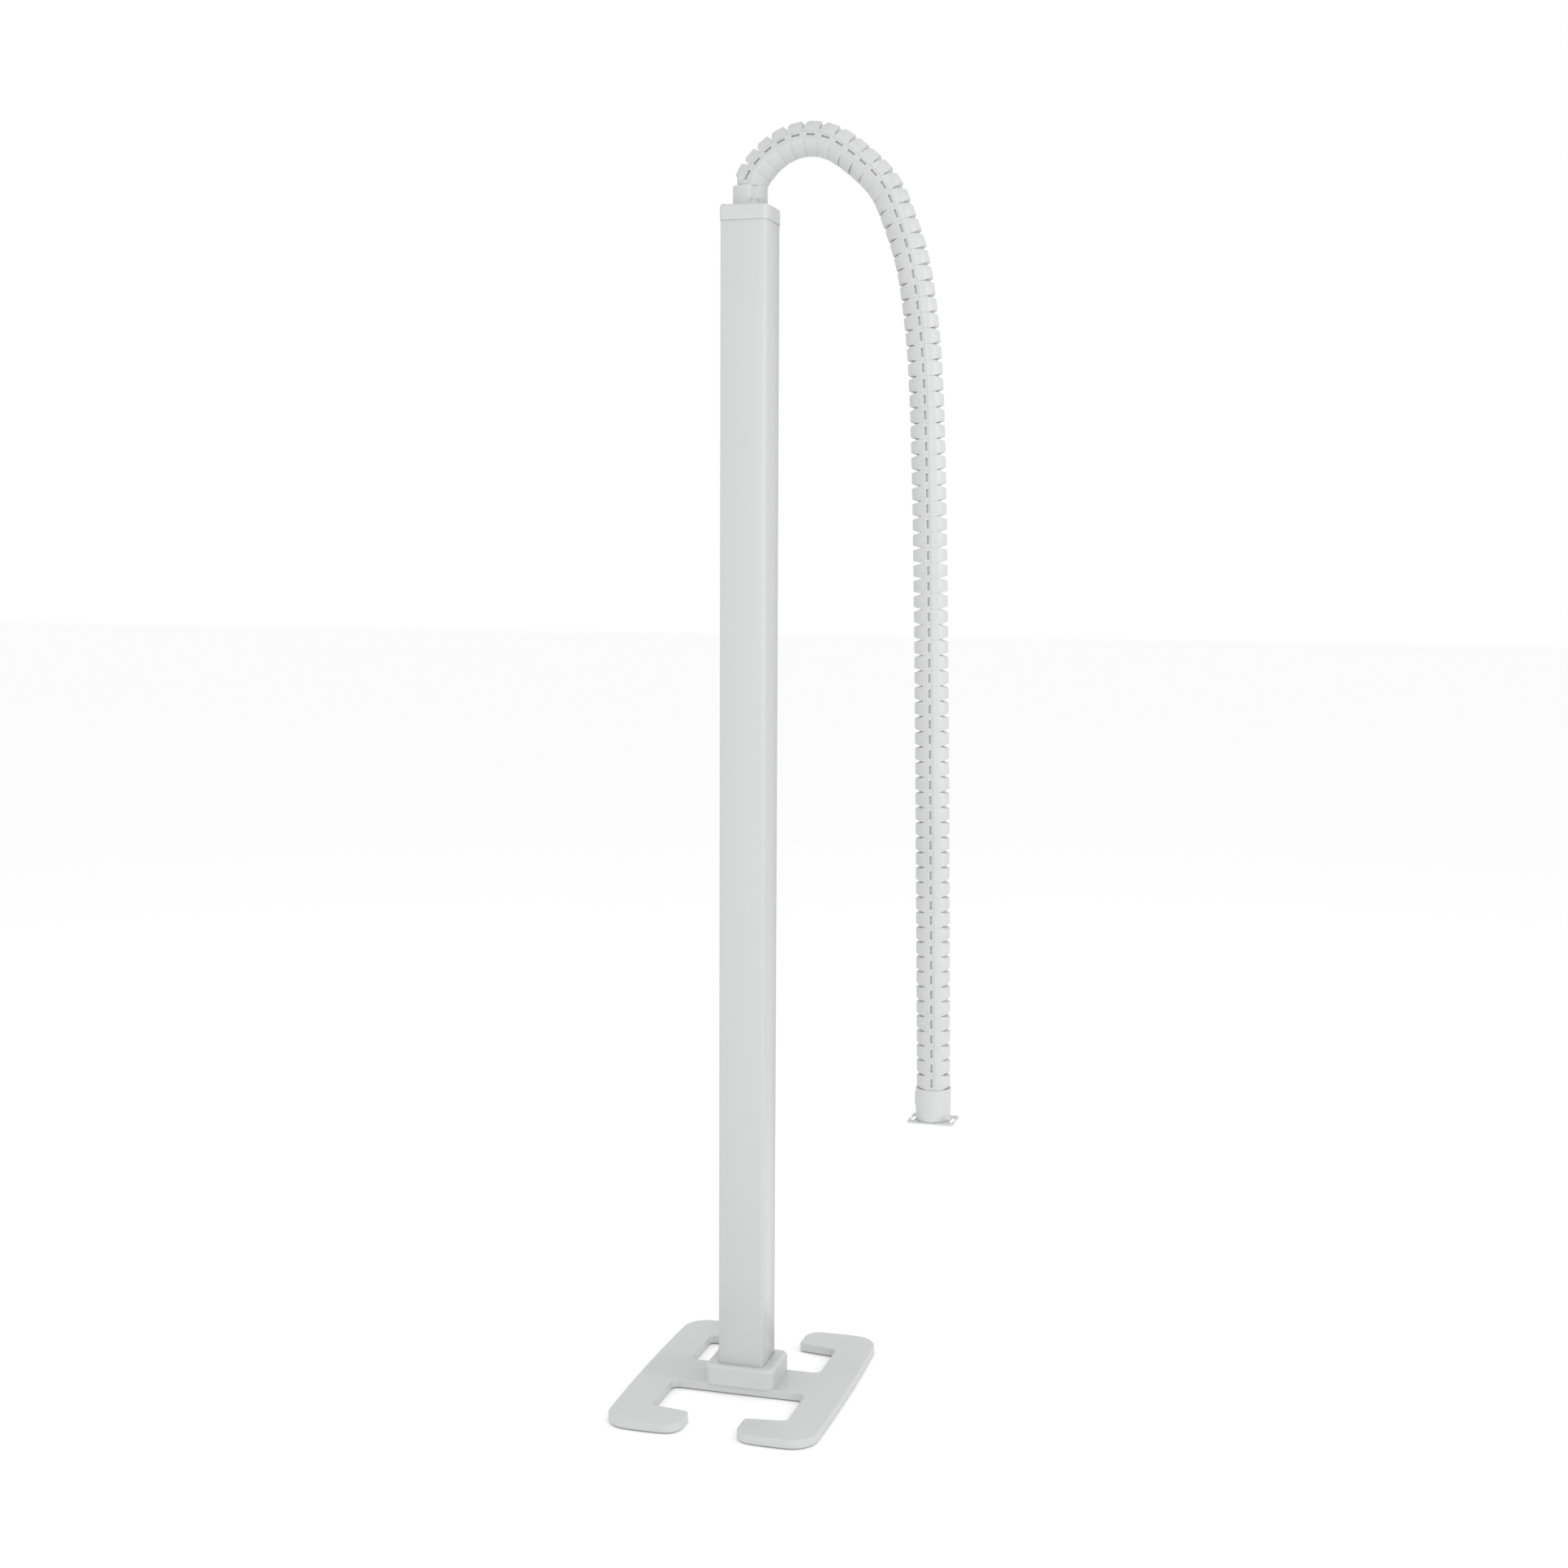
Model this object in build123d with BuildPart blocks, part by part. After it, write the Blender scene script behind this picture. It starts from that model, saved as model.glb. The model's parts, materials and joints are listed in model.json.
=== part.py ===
"""Free-standing cable pole: H-shaped foot, square hollow pole, cap with a turning cuff, and a
segmented cable hose that hangs free and ends in a mounting flange.

Millimetres, +Z up. The origin is on the floor under the middle of the foot. +X points to the side
that the hose hangs on, and -Y is the front.
"""
import os
from math import cos, pi, radians, sin, tan

from build123d import *

# ---- foot ----
PAD_HEIGHT = 2.0
PLATE_THICKNESS = 12.0
PLATE_TOP = PAD_HEIGHT + PLATE_THICKNESS
FOOT_HALF_WIDTH = 161.0
FOOT_HALF_DEPTH = 209.0
SIDE_BOW = 4.5
FRONT_BOW = 4.0
CROSSBAR_HALF_DEPTH = 42.0
BAR_INNER_X = 104.0
HOOK_INNER_Y = 142.5
HOOK_TIP_X = 42.0
HOOK_TIP_INNER_Y = 151.0
FOOT_CORNER_RADIUS = 38.0
TIP_OUTER_RADIUS = 24.0
SMALL_CORNER_RADIUS = 8.0
CROSSBAR_CORNER_RADIUS = 11.0
PLATE_EDGE_ROUND = 1.5
PAD_RADIUS = 16.0
PAD_X = 110.0
PAD_Y = 176.0

# ---- pole ----
POLE_SIZE = 70.0
POLE_CORNER_RADIUS = 5.0
POLE_WALL = 2.0
POLE_BOTTOM = PLATE_TOP
POLE_LENGTH = 1720.0
POLE_TOP = POLE_BOTTOM + POLE_LENGTH
CHANNEL_OFFSET = 29.8
CHANNEL_BOSS_RADIUS = 4.0
CUT_PAST = 0.5
SOLID = 0.001  # the bore of a ring that stands for a full disc
CHANNEL_HOLE_RADIUS = 2.05
DIVIDER_THICKNESS = 1.5
DIVIDER_PLAY = 0.15
RIB_THICKNESS = 1.2
RIB_HEIGHT = 3.0
DIVIDER_BOTTOM = 110.0
DIVIDER_TOP = 1712.0
WALL_SPLIT_Y = 25.5

# ---- collar that the pole stands in ----
SOCKET_WIDTH = 108.0
SOCKET_DEPTH = 92.0
SOCKET_HEIGHT = 30.0
SOCKET_CORNER_RADIUS = 12.0
SOCKET_EDGE_ROUND = 6.0
SOCKET_PLAY = 0.4
SOCKET_SCREW_X = 44.6
SOCKET_SCREW_Y = 28.0
LOCK_SCREW_X = 15.0
LOCK_SCREW_Z = PLATE_TOP + 15.0

# ---- block inside the pole's lower end ----
SPIGOT_WIDTH = 64.6
SPIGOT_ARM = 46.0
SPIGOT_HEIGHT = 40.0
SPIGOT_CORNER_RADIUS = 2.0
SPIGOT_KEYWAY = 6.0
SPIGOT_CHAMFER = 1.0
SPIGOT_SCREW_Y = 16.0
EARTH_X = -17.0
EARTH_WASHER_THICKNESS = 1.0
EARTH_WASHER_RADIUS = 6.0

# ---- cable outlet low on the back ----
OUTLET_Z = 84.0
OUTLET_WIDTH = 36.0
OUTLET_HEIGHT = 24.0
OUTLET_CORNER_RADIUS = 8.0
GROMMET_LIP = 5.0
GROMMET_WALL = 4.0
GROMMET_LIP_THICKNESS = 2.5
GROMMET_EDGE_ROUND = 1.2
GROMMET_PLAY = 0.1
GROMMET_REACH = 1.5

# ---- cap ----
CAP_SIZE = 72.0
CAP_HEIGHT = 22.0
CAP_TOP = POLE_TOP + CAP_HEIGHT
CAP_WALL = 3.0
CAP_ROOF = 6.0
CAP_CORNER_RADIUS = 6.0
CAP_EDGE_ROUND = 4.0
CAP_BOSS_RADIUS = 29.0
CAP_BOSS_BOTTOM = POLE_TOP - 4.0
BUSH_OUTER_RADIUS = 23.5
SWIVEL_RADIUS = 21.5
RUNNING_CLEARANCE = 0.05
AXIAL_PLAY = 0.4
STOP_PIN_RADIUS = 2.0
STOP_PIN_CIRCLE = 26.2
STOP_PIN_LENGTH = 15.0

# ---- cuffs ----
CUFF_BORE_RADIUS = 19.0
CUFF_TOP_HEIGHT = 27.6
CUFF_TOP = CAP_TOP + AXIAL_PLAY + CUFF_TOP_HEIGHT
TOP_CUFF_RADIUS = 25.0
TOP_CUFF_SLOT_TURN = 34.0
END_CUFF_RADIUS = 25.5
END_CUFF_SLOT_TURN = 53.0
CUFF_EDGE_ROUND = 2.5
SLOT_WIDTH = 2.4
GROOVE_DEPTH = 2.2
ARCH_HALF_WIDTH = 17.0
ARCH_HEIGHT = 9.5
FLARE_HALF_WIDTH = 5.5
FLARE_DEPTH = 11.0
NECK_BOTTOM = POLE_TOP - 12.0
STOP_RING_THICKNESS = 3.0
STOP_RING_BOTTOM = CAP_BOSS_BOTTOM - AXIAL_PLAY - STOP_RING_THICKNESS
STOP_RING_RADIUS = 23.8
STOP_LUG_RADIUS = 28.4
STOP_LUG_HALF_ANGLE = 10.0
CIRCLIP_THICKNESS = 1.4
CIRCLIP_BITE = 0.9
CIRCLIP_PLAY = 0.1
CIRCLIP_STAND_OUT = 1.1
CIRCLIP_GAP_PART = 0.3
GROOVE_BITE = 1.0
GROOVE_WIDTH = 1.6

# ---- hose ----
HOSE_RADIUS = 24.5
HOSE_BORE_RADIUS = 19.0
LONGEST_PART_OF_RUN = 0.45
HOSE_ROUTE = [
    (0, CUFF_TOP),
    (0, 1808),
    (19, 1836),
    (60, 1852),
    (112, 1848),
    (158, 1819),
    (196, 1778),
    (219, 1728),
    (238, 1668),
    (250, 1590),
    (260, 1480),
    (268, 1330),
    (284.5, 640),
    (284.5, 486),
]
COUPLER_OUTER_RADIUS = 18.9
COUPLER_INNER_RADIUS = 16.5
COUPLER_IN_UPPER_CUFF = 18.0
COUPLER_IN_END_CUFF = 16.0
UPPER_COUPLER_IN_HOSE = 12.0
LOWER_COUPLER_IN_HOSE = 14.0

# ---- hose's lower end ----
END_X = HOSE_ROUTE[-1][0]
END_CUFF_TOP = HOSE_ROUTE[-1][1]
FLANGE_BOTTOM = 436.0
FLANGE_THICKNESS = 2.6
FLANGE_WIDTH = 68.0
FLANGE_DEPTH = 52.0
FLANGE_CORNER_RADIUS = 5.0
FLANGE_SLOT_X = 28.6
FLANGE_SLOT_WIDTH = 5.8
FLANGE_SLOT_LENGTH = 30.0
FLANGE_MOUTH = 10.0
HUB_INNER_RADIUS = 18.0
HUB_TOP = FLANGE_BOTTOM + 14.0
END_CUFF_BOTTOM = FLANGE_BOTTOM + FLANGE_THICKNESS + AXIAL_PLAY
END_LIP_TOP = END_CUFF_BOTTOM + 7.0
END_CHAMBER_RADIUS = 23.0
END_CHAMBER_TOP = END_LIP_TOP + 20.0

# ---- screws and their holes ----
THREAD_CLEARANCE = 0.05
HOLE_CLEARANCE = 0.3
HEAD_CLEARANCE = 0.1
SOCKET_SCREW_SHANK = 3.0
SOCKET_SCREW_HEAD = 6.1
SPIGOT_SCREW_SHANK = 4.0
SPIGOT_SCREW_HEAD = 7.9
FOOT_SCREW_LENGTH = 30.0
SOCKET_SCREW_DEPTH = 22.0
SPIGOT_SCREW_DEPTH = 20.0
LOCK_SCREW_SHANK = 3.0
LOCK_SCREW_HEAD = 5.2
LOCK_HEAD_HEIGHT = 6.0
LOCK_SCREW_LENGTH = 24.0
LOCK_BORE_RADIUS = 5.6
LOCK_BORE_DEPTH = 6.5
LOCK_SCREW_DEPTH = 20.0
EARTH_SCREW_SHANK = 2.5
EARTH_SCREW_HEAD = 4.2
EARTH_HEAD_HEIGHT = 4.0
EARTH_SCREW_LENGTH = 12.0
EARTH_HOLE_DEPTH = 14.0
CAP_SCREW_SHANK = 2.0
CAP_SCREW_HEAD = 4.2
CAP_SCREW_LENGTH = 36.0
KEY_PART_OF_SHANK = 0.62
KEY_DEPTH_PART = 0.6
HEAD_CHAMFER_PART = 0.1

ALL_CORNERS = [(1, 1), (1, -1), (-1, 1), (-1, -1)]


def save(solid, label):
    """Label a finished piece and write it to its own STEP file."""
    solid.label = label
    export_step(solid, f"parts/{label}.step")


def corners_at(sketch, x, y):
    """The outline's corners that lie at (+-x, +-y)."""
    return [v for v in sketch.vertices() if abs(abs(v.X) - x) < 0.5 and abs(abs(v.Y) - y) < 0.5]


def countersunk_screw(shank_radius, head_radius, length):
    """A countersunk screw, head face at Z = 0 and shank down -Z, with a hexagon socket."""
    head_height = head_radius - shank_radius
    with BuildPart() as screw:
        with BuildSketch(Plane.XZ):
            with BuildLine():
                Polyline(
                    (0, 0),
                    (head_radius, 0),
                    (shank_radius, -head_height),
                    (shank_radius, -length),
                    (0, -length),
                    close=True,
                )
            make_face()
        revolve(axis=Axis.Z)
        with BuildSketch():
            RegularPolygon(shank_radius * KEY_PART_OF_SHANK, 6)
        extrude(amount=-head_height, mode=Mode.SUBTRACT)
    return screw.part


def cap_head_screw(shank_radius, head_radius, head_height, length):
    """A cap-head screw, underside of the head at Z = 0 and shank down -Z."""
    with BuildPart() as screw:
        Cylinder(head_radius, head_height, align=(Align.CENTER, Align.CENTER, Align.MIN))
        chamfer(screw.edges().group_by(Axis.Z)[-1], head_height * HEAD_CHAMFER_PART)
        Cylinder(shank_radius, length, align=(Align.CENTER, Align.CENTER, Align.MAX))
        with BuildSketch(Plane.XY.offset(head_height)):
            RegularPolygon(shank_radius * KEY_PART_OF_SHANK, 6)
        extrude(amount=-head_height * KEY_DEPTH_PART, mode=Mode.SUBTRACT)
    return screw.part


def ring(outer_radius, inner_radius, bottom, top, x=0.0):
    """A plain sleeve about the vertical line through (x, 0)."""
    with BuildPart() as sleeve:
        with BuildSketch(Plane.XY.offset(bottom)):
            with Locations((x, 0)):
                Circle(outer_radius)
                Circle(inner_radius, mode=Mode.SUBTRACT)
        extrude(amount=top - bottom)
    return sleeve.part


def circlip(outer_radius, inner_radius, bottom, x=0.0):
    """A flat open ring, its gap towards the back."""
    with BuildPart() as clip:
        add(ring(outer_radius, inner_radius, bottom, bottom + CIRCLIP_THICKNESS, x))
        with BuildSketch(Plane.XY.offset(bottom)):
            with Locations((x, outer_radius)):
                Rectangle(outer_radius * CIRCLIP_GAP_PART, outer_radius)
        extrude(amount=CIRCLIP_THICKNESS, mode=Mode.SUBTRACT)
    return clip.part


def cut_front_of_cuff(x, bottom, top, radius, turn):
    """A groove in a cuff's wall, with an arched mouth at the bottom and a flare at the top.

    turn is the angle in degrees from the front towards +X that the groove faces.
    """
    facing = Vector(sin(radians(turn)), -cos(radians(turn)), 0)
    sideways = Vector(cos(radians(turn)), sin(radians(turn)), 0)
    floor = Vector(x, 0, bottom) + facing * (radius - GROOVE_DEPTH)
    wall = Plane(origin=floor, x_dir=sideways, z_dir=facing)
    height = top - bottom
    half_slot = SLOT_WIDTH / 2
    with BuildPart(mode=Mode.PRIVATE) as cutter:
        with BuildSketch(wall):
            with BuildLine():
                ThreePointArc((-ARCH_HALF_WIDTH, -1), (0, ARCH_HEIGHT), (ARCH_HALF_WIDTH, -1))
                Line((ARCH_HALF_WIDTH, -1), (-ARCH_HALF_WIDTH, -1))
            make_face()
            with BuildLine():
                Polyline(
                    (-half_slot, 0),
                    (half_slot, 0),
                    (half_slot, height - FLARE_DEPTH),
                    (FLARE_HALF_WIDTH, height + 1),
                    (-FLARE_HALF_WIDTH, height + 1),
                    (-half_slot, height - FLARE_DEPTH),
                    close=True,
                )
            make_face()
        extrude(amount=2 * GROOVE_DEPTH)
    return cutter.part


# ======================= foot =======================


def build_foot_plate():
    side_y = FOOT_HALF_DEPTH - FRONT_BOW
    side_x = FOOT_HALF_WIDTH - SIDE_BOW
    with BuildPart() as foot_plate:
        with BuildSketch(Plane.XY.offset(PAD_HEIGHT)) as outline:
            with BuildLine():
                ThreePointArc(
                    (FOOT_HALF_WIDTH, 0),
                    (FOOT_HALF_WIDTH - SIDE_BOW / 4, side_y / 2),
                    (side_x, side_y),
                )
                ThreePointArc(
                    (side_x, side_y),
                    ((side_x + HOOK_TIP_X) / 2, FOOT_HALF_DEPTH),
                    (HOOK_TIP_X, side_y),
                )
                Polyline(
                    (HOOK_TIP_X, side_y),
                    (HOOK_TIP_X, HOOK_TIP_INNER_Y),
                    (BAR_INNER_X, HOOK_INNER_Y),
                    (BAR_INNER_X, CROSSBAR_HALF_DEPTH),
                    (0, CROSSBAR_HALF_DEPTH),
                    (0, 0),
                    (FOOT_HALF_WIDTH, 0),
                )
            make_face()
            mirror(about=Plane.XZ)
            mirror(about=Plane.YZ)
            fillet(corners_at(outline, side_x, side_y), FOOT_CORNER_RADIUS)
            fillet(corners_at(outline, HOOK_TIP_X, side_y), TIP_OUTER_RADIUS)
            fillet(corners_at(outline, HOOK_TIP_X, HOOK_TIP_INNER_Y), SMALL_CORNER_RADIUS)
            fillet(corners_at(outline, BAR_INNER_X, HOOK_INNER_Y), SMALL_CORNER_RADIUS)
            fillet(corners_at(outline, BAR_INNER_X, CROSSBAR_HALF_DEPTH), CROSSBAR_CORNER_RADIUS)
        extrude(amount=PLATE_THICKNESS)
        fillet(foot_plate.faces().sort_by(Axis.Z)[-1].outer_wire().edges(), PLATE_EDGE_ROUND)
        with Locations(*socket_screw_places()):
            CounterSinkHole(
                SOCKET_SCREW_SHANK + HOLE_CLEARANCE,
                SOCKET_SCREW_HEAD + HEAD_CLEARANCE,
                PLATE_THICKNESS,
            )
        with Locations(*spigot_screw_places()):
            CounterSinkHole(
                SPIGOT_SCREW_SHANK + HOLE_CLEARANCE,
                SPIGOT_SCREW_HEAD + HEAD_CLEARANCE,
                PLATE_THICKNESS,
            )
    save(foot_plate.part, "foot_plate")


def socket_screw_places():
    """Head faces of the collar's four screws, on the plate's underside, pointing up."""
    return [
        Location((SOCKET_SCREW_X * i, SOCKET_SCREW_Y * j, PAD_HEIGHT), (180, 0, 0))
        for i, j in ALL_CORNERS
    ]


def spigot_screw_places():
    """Head faces of the spigot's two screws, on the plate's underside, pointing up."""
    return [Location((0, SPIGOT_SCREW_Y * j, PAD_HEIGHT), (180, 0, 0)) for j in (1, -1)]


def build_floor_pads():
    with BuildPart() as floor_pads:
        with Locations(*[(PAD_X * i, PAD_Y * j, 0) for i, j in ALL_CORNERS]):
            Cylinder(PAD_RADIUS, PAD_HEIGHT, align=(Align.CENTER, Align.CENTER, Align.MIN))
    save(floor_pads.part, "floor_pads")


def build_pole_socket():
    hole = POLE_SIZE + 2 * SOCKET_PLAY
    with BuildPart() as pole_socket:
        with BuildSketch(Plane.XY.offset(PLATE_TOP)):
            RectangleRounded(SOCKET_WIDTH, SOCKET_DEPTH, SOCKET_CORNER_RADIUS)
        extrude(amount=SOCKET_HEIGHT)
        fillet(pole_socket.faces().sort_by(Axis.Z)[-1].edges(), SOCKET_EDGE_ROUND)
        with BuildSketch(Plane.XY.offset(PLATE_TOP)):
            RectangleRounded(hole, hole, POLE_CORNER_RADIUS + SOCKET_PLAY)
        extrude(amount=SOCKET_HEIGHT, mode=Mode.SUBTRACT)
        with Locations(*[(SOCKET_SCREW_X * i, SOCKET_SCREW_Y * j, PLATE_TOP) for i, j in ALL_CORNERS]):
            Cylinder(
                SOCKET_SCREW_SHANK + THREAD_CLEARANCE,
                SOCKET_SCREW_DEPTH,
                align=(Align.CENTER, Align.CENTER, Align.MIN),
                mode=Mode.SUBTRACT,
            )
        with Locations(*lock_screw_places(SOCKET_DEPTH / 2)):
            CounterBoreHole(
                LOCK_SCREW_SHANK + HOLE_CLEARANCE,
                LOCK_BORE_RADIUS,
                LOCK_BORE_DEPTH,
                (SOCKET_DEPTH - POLE_SIZE) / 2 + 1,
            )
    save(pole_socket.part, "pole_socket")


def lock_screw_places(y):
    """Places on the collar's back, at distance y from the middle, facing backwards."""
    return [Location((LOCK_SCREW_X * i, y, LOCK_SCREW_Z), (-90, 0, 0)) for i in (1, -1)]


def build_pole_spigot():
    with BuildPart() as pole_spigot:
        with BuildSketch(Plane.XY.offset(PLATE_TOP)):
            RectangleRounded(SPIGOT_WIDTH, SPIGOT_ARM, SPIGOT_CORNER_RADIUS)
            RectangleRounded(SPIGOT_ARM, SPIGOT_WIDTH, SPIGOT_CORNER_RADIUS)
            with Locations((0, SPIGOT_WIDTH / 2), (0, -SPIGOT_WIDTH / 2)):
                Rectangle(SPIGOT_KEYWAY, SPIGOT_KEYWAY, mode=Mode.SUBTRACT)
        extrude(amount=SPIGOT_HEIGHT)
        chamfer(pole_spigot.faces().sort_by(Axis.Z)[-1].outer_wire().edges(), SPIGOT_CHAMFER)
        with Locations(*[(0, SPIGOT_SCREW_Y * j, PLATE_TOP) for j in (1, -1)]):
            Cylinder(
                SPIGOT_SCREW_SHANK + THREAD_CLEARANCE,
                SPIGOT_SCREW_DEPTH,
                align=(Align.CENTER, Align.CENTER, Align.MIN),
                mode=Mode.SUBTRACT,
            )
        with Locations(*lock_screw_places(SPIGOT_WIDTH / 2)):
            Hole(LOCK_SCREW_SHANK + THREAD_CLEARANCE, LOCK_SCREW_DEPTH)
        with Locations((EARTH_X, 0, PLATE_TOP + SPIGOT_HEIGHT)):
            Hole(EARTH_SCREW_SHANK + THREAD_CLEARANCE, EARTH_HOLE_DEPTH)
    save(pole_spigot.part, "pole_spigot")


def build_foot_fasteners():
    with BuildPart() as socket_screws:
        with Locations(*socket_screw_places()):
            add(countersunk_screw(SOCKET_SCREW_SHANK, SOCKET_SCREW_HEAD, FOOT_SCREW_LENGTH))
    save(socket_screws.part, "socket_screws")
    with BuildPart() as spigot_screws:
        with Locations(*spigot_screw_places()):
            add(countersunk_screw(SPIGOT_SCREW_SHANK, SPIGOT_SCREW_HEAD, FOOT_SCREW_LENGTH))
    save(spigot_screws.part, "spigot_screws")
    with BuildPart() as pole_lock_screws:
        with Locations(*lock_screw_places(SOCKET_DEPTH / 2 - LOCK_BORE_DEPTH)):
            add(
                cap_head_screw(
                    LOCK_SCREW_SHANK, LOCK_SCREW_HEAD, LOCK_HEAD_HEIGHT, LOCK_SCREW_LENGTH
                )
            )
    save(pole_lock_screws.part, "pole_lock_screws")
    spigot_top = PLATE_TOP + SPIGOT_HEIGHT
    with BuildPart() as earth_screw:
        with Locations((EARTH_X, 0, spigot_top + EARTH_WASHER_THICKNESS)):
            add(
                cap_head_screw(
                    EARTH_SCREW_SHANK, EARTH_SCREW_HEAD, EARTH_HEAD_HEIGHT, EARTH_SCREW_LENGTH
                )
            )
    save(earth_screw.part, "earth_screw")
    washer_hole = EARTH_SCREW_SHANK + HEAD_CLEARANCE
    washer_top = spigot_top + EARTH_WASHER_THICKNESS
    save(ring(EARTH_WASHER_RADIUS, washer_hole, spigot_top, washer_top, EARTH_X), "earth_washer")


# ======================= pole =======================


def build_pole_walls():
    """The square profile, divided into a node for each wall so that each one is a plain plate."""
    inside = POLE_SIZE - 2 * POLE_WALL
    rib_x = DIVIDER_THICKNESS / 2 + DIVIDER_PLAY + RIB_THICKNESS / 2
    rib_y = inside / 2 - RIB_HEIGHT / 2
    channels = [(CHANNEL_OFFSET * i, CHANNEL_OFFSET * j) for i, j in ALL_CORNERS]
    with BuildPart() as pole_profile:
        with BuildSketch(Plane.XY.offset(POLE_BOTTOM)):
            RectangleRounded(POLE_SIZE, POLE_SIZE, POLE_CORNER_RADIUS)
            RectangleRounded(inside, inside, POLE_CORNER_RADIUS - POLE_WALL, mode=Mode.SUBTRACT)
            with Locations(*channels):
                Circle(CHANNEL_BOSS_RADIUS)
            with Locations(*[(rib_x * i, rib_y * j) for i, j in ALL_CORNERS]):
                Rectangle(RIB_THICKNESS, RIB_HEIGHT)
            with Locations(*channels):
                Circle(CHANNEL_HOLE_RADIUS, mode=Mode.SUBTRACT)
        extrude(amount=POLE_LENGTH)
        with BuildSketch(Plane.XZ.offset(-POLE_SIZE / 2)):
            with Locations((0, OUTLET_Z)):
                Rectangle(OUTLET_WIDTH, OUTLET_HEIGHT)
        extrude(amount=POLE_WALL + RIB_HEIGHT + 1, mode=Mode.SUBTRACT)
        with Locations(*lock_screw_places(POLE_SIZE / 2)):
            Hole(LOCK_SCREW_SHANK + HOLE_CLEARANCE, POLE_WALL + CUT_PAST)
    half = POLE_SIZE / 2
    jamb = OUTLET_WIDTH / 2
    sill = OUTLET_Z - OUTLET_HEIGHT / 2
    lintel = OUTLET_Z + OUTLET_HEIGHT / 2
    bottom, top = POLE_BOTTOM, POLE_BOTTOM + POLE_LENGTH
    walls = [
        ("pole_front", (-half, -half, bottom), (half, -WALL_SPLIT_Y, top)),
        ("pole_left", (-half, -WALL_SPLIT_Y, bottom), (0, WALL_SPLIT_Y, top)),
        ("pole_right", (0, -WALL_SPLIT_Y, bottom), (half, WALL_SPLIT_Y, top)),
        ("pole_back", (-half, WALL_SPLIT_Y, lintel), (half, half, top)),
        ("pole_back_sill", (-jamb, WALL_SPLIT_Y, bottom), (jamb, half, sill)),
        ("pole_back_left", (-half, WALL_SPLIT_Y, bottom), (-jamb, half, lintel)),
        ("pole_back_right", (jamb, WALL_SPLIT_Y, bottom), (half, half, lintel)),
    ]
    for name, low, high in walls:
        size = [b - a for a, b in zip(low, high)]
        with BuildPart() as wall:
            add(pole_profile.part)
            with Locations(tuple((a + b) / 2 for a, b in zip(low, high))):
                Box(*size, mode=Mode.INTERSECT)
        save(wall.part, name)


def build_channel_divider():
    depth = POLE_SIZE - 2 * POLE_WALL - 2 * DIVIDER_PLAY
    with BuildPart() as channel_divider:
        with BuildSketch(Plane.XY.offset(DIVIDER_BOTTOM)):
            Rectangle(DIVIDER_THICKNESS, depth)
        extrude(amount=DIVIDER_TOP - DIVIDER_BOTTOM)
    save(channel_divider.part, "channel_divider")


def build_outlet_grommet():
    face = Plane.XZ.offset(-POLE_SIZE / 2)
    opening_width = OUTLET_WIDTH - 2 * GROMMET_WALL
    opening_height = OUTLET_HEIGHT - 2 * GROMMET_WALL
    with BuildPart() as outlet_grommet:
        with BuildSketch(face):
            with Locations((0, OUTLET_Z)):
                RectangleRounded(
                    OUTLET_WIDTH + 2 * GROMMET_LIP,
                    OUTLET_HEIGHT + 2 * GROMMET_LIP,
                    OUTLET_CORNER_RADIUS + GROMMET_LIP,
                )
        extrude(amount=-GROMMET_LIP_THICKNESS)
        fillet(outlet_grommet.faces().sort_by(Axis.Y)[-1].outer_wire().edges(), GROMMET_EDGE_ROUND)
        with BuildSketch(face):
            with Locations((0, OUTLET_Z)):
                RectangleRounded(
                    OUTLET_WIDTH - 2 * GROMMET_PLAY,
                    OUTLET_HEIGHT - 2 * GROMMET_PLAY,
                    OUTLET_CORNER_RADIUS - GROMMET_PLAY,
                )
        extrude(amount=POLE_WALL + GROMMET_REACH)
        with BuildSketch(face.offset(-GROMMET_LIP_THICKNESS)):
            with Locations((0, OUTLET_Z)):
                RectangleRounded(opening_width, opening_height, OUTLET_CORNER_RADIUS - GROMMET_WALL)
        extrude(amount=GROMMET_LIP_THICKNESS + POLE_WALL + 2, mode=Mode.SUBTRACT)
    save(outlet_grommet.part, "outlet_grommet")


# ======================= cap and swivel =======================


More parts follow.
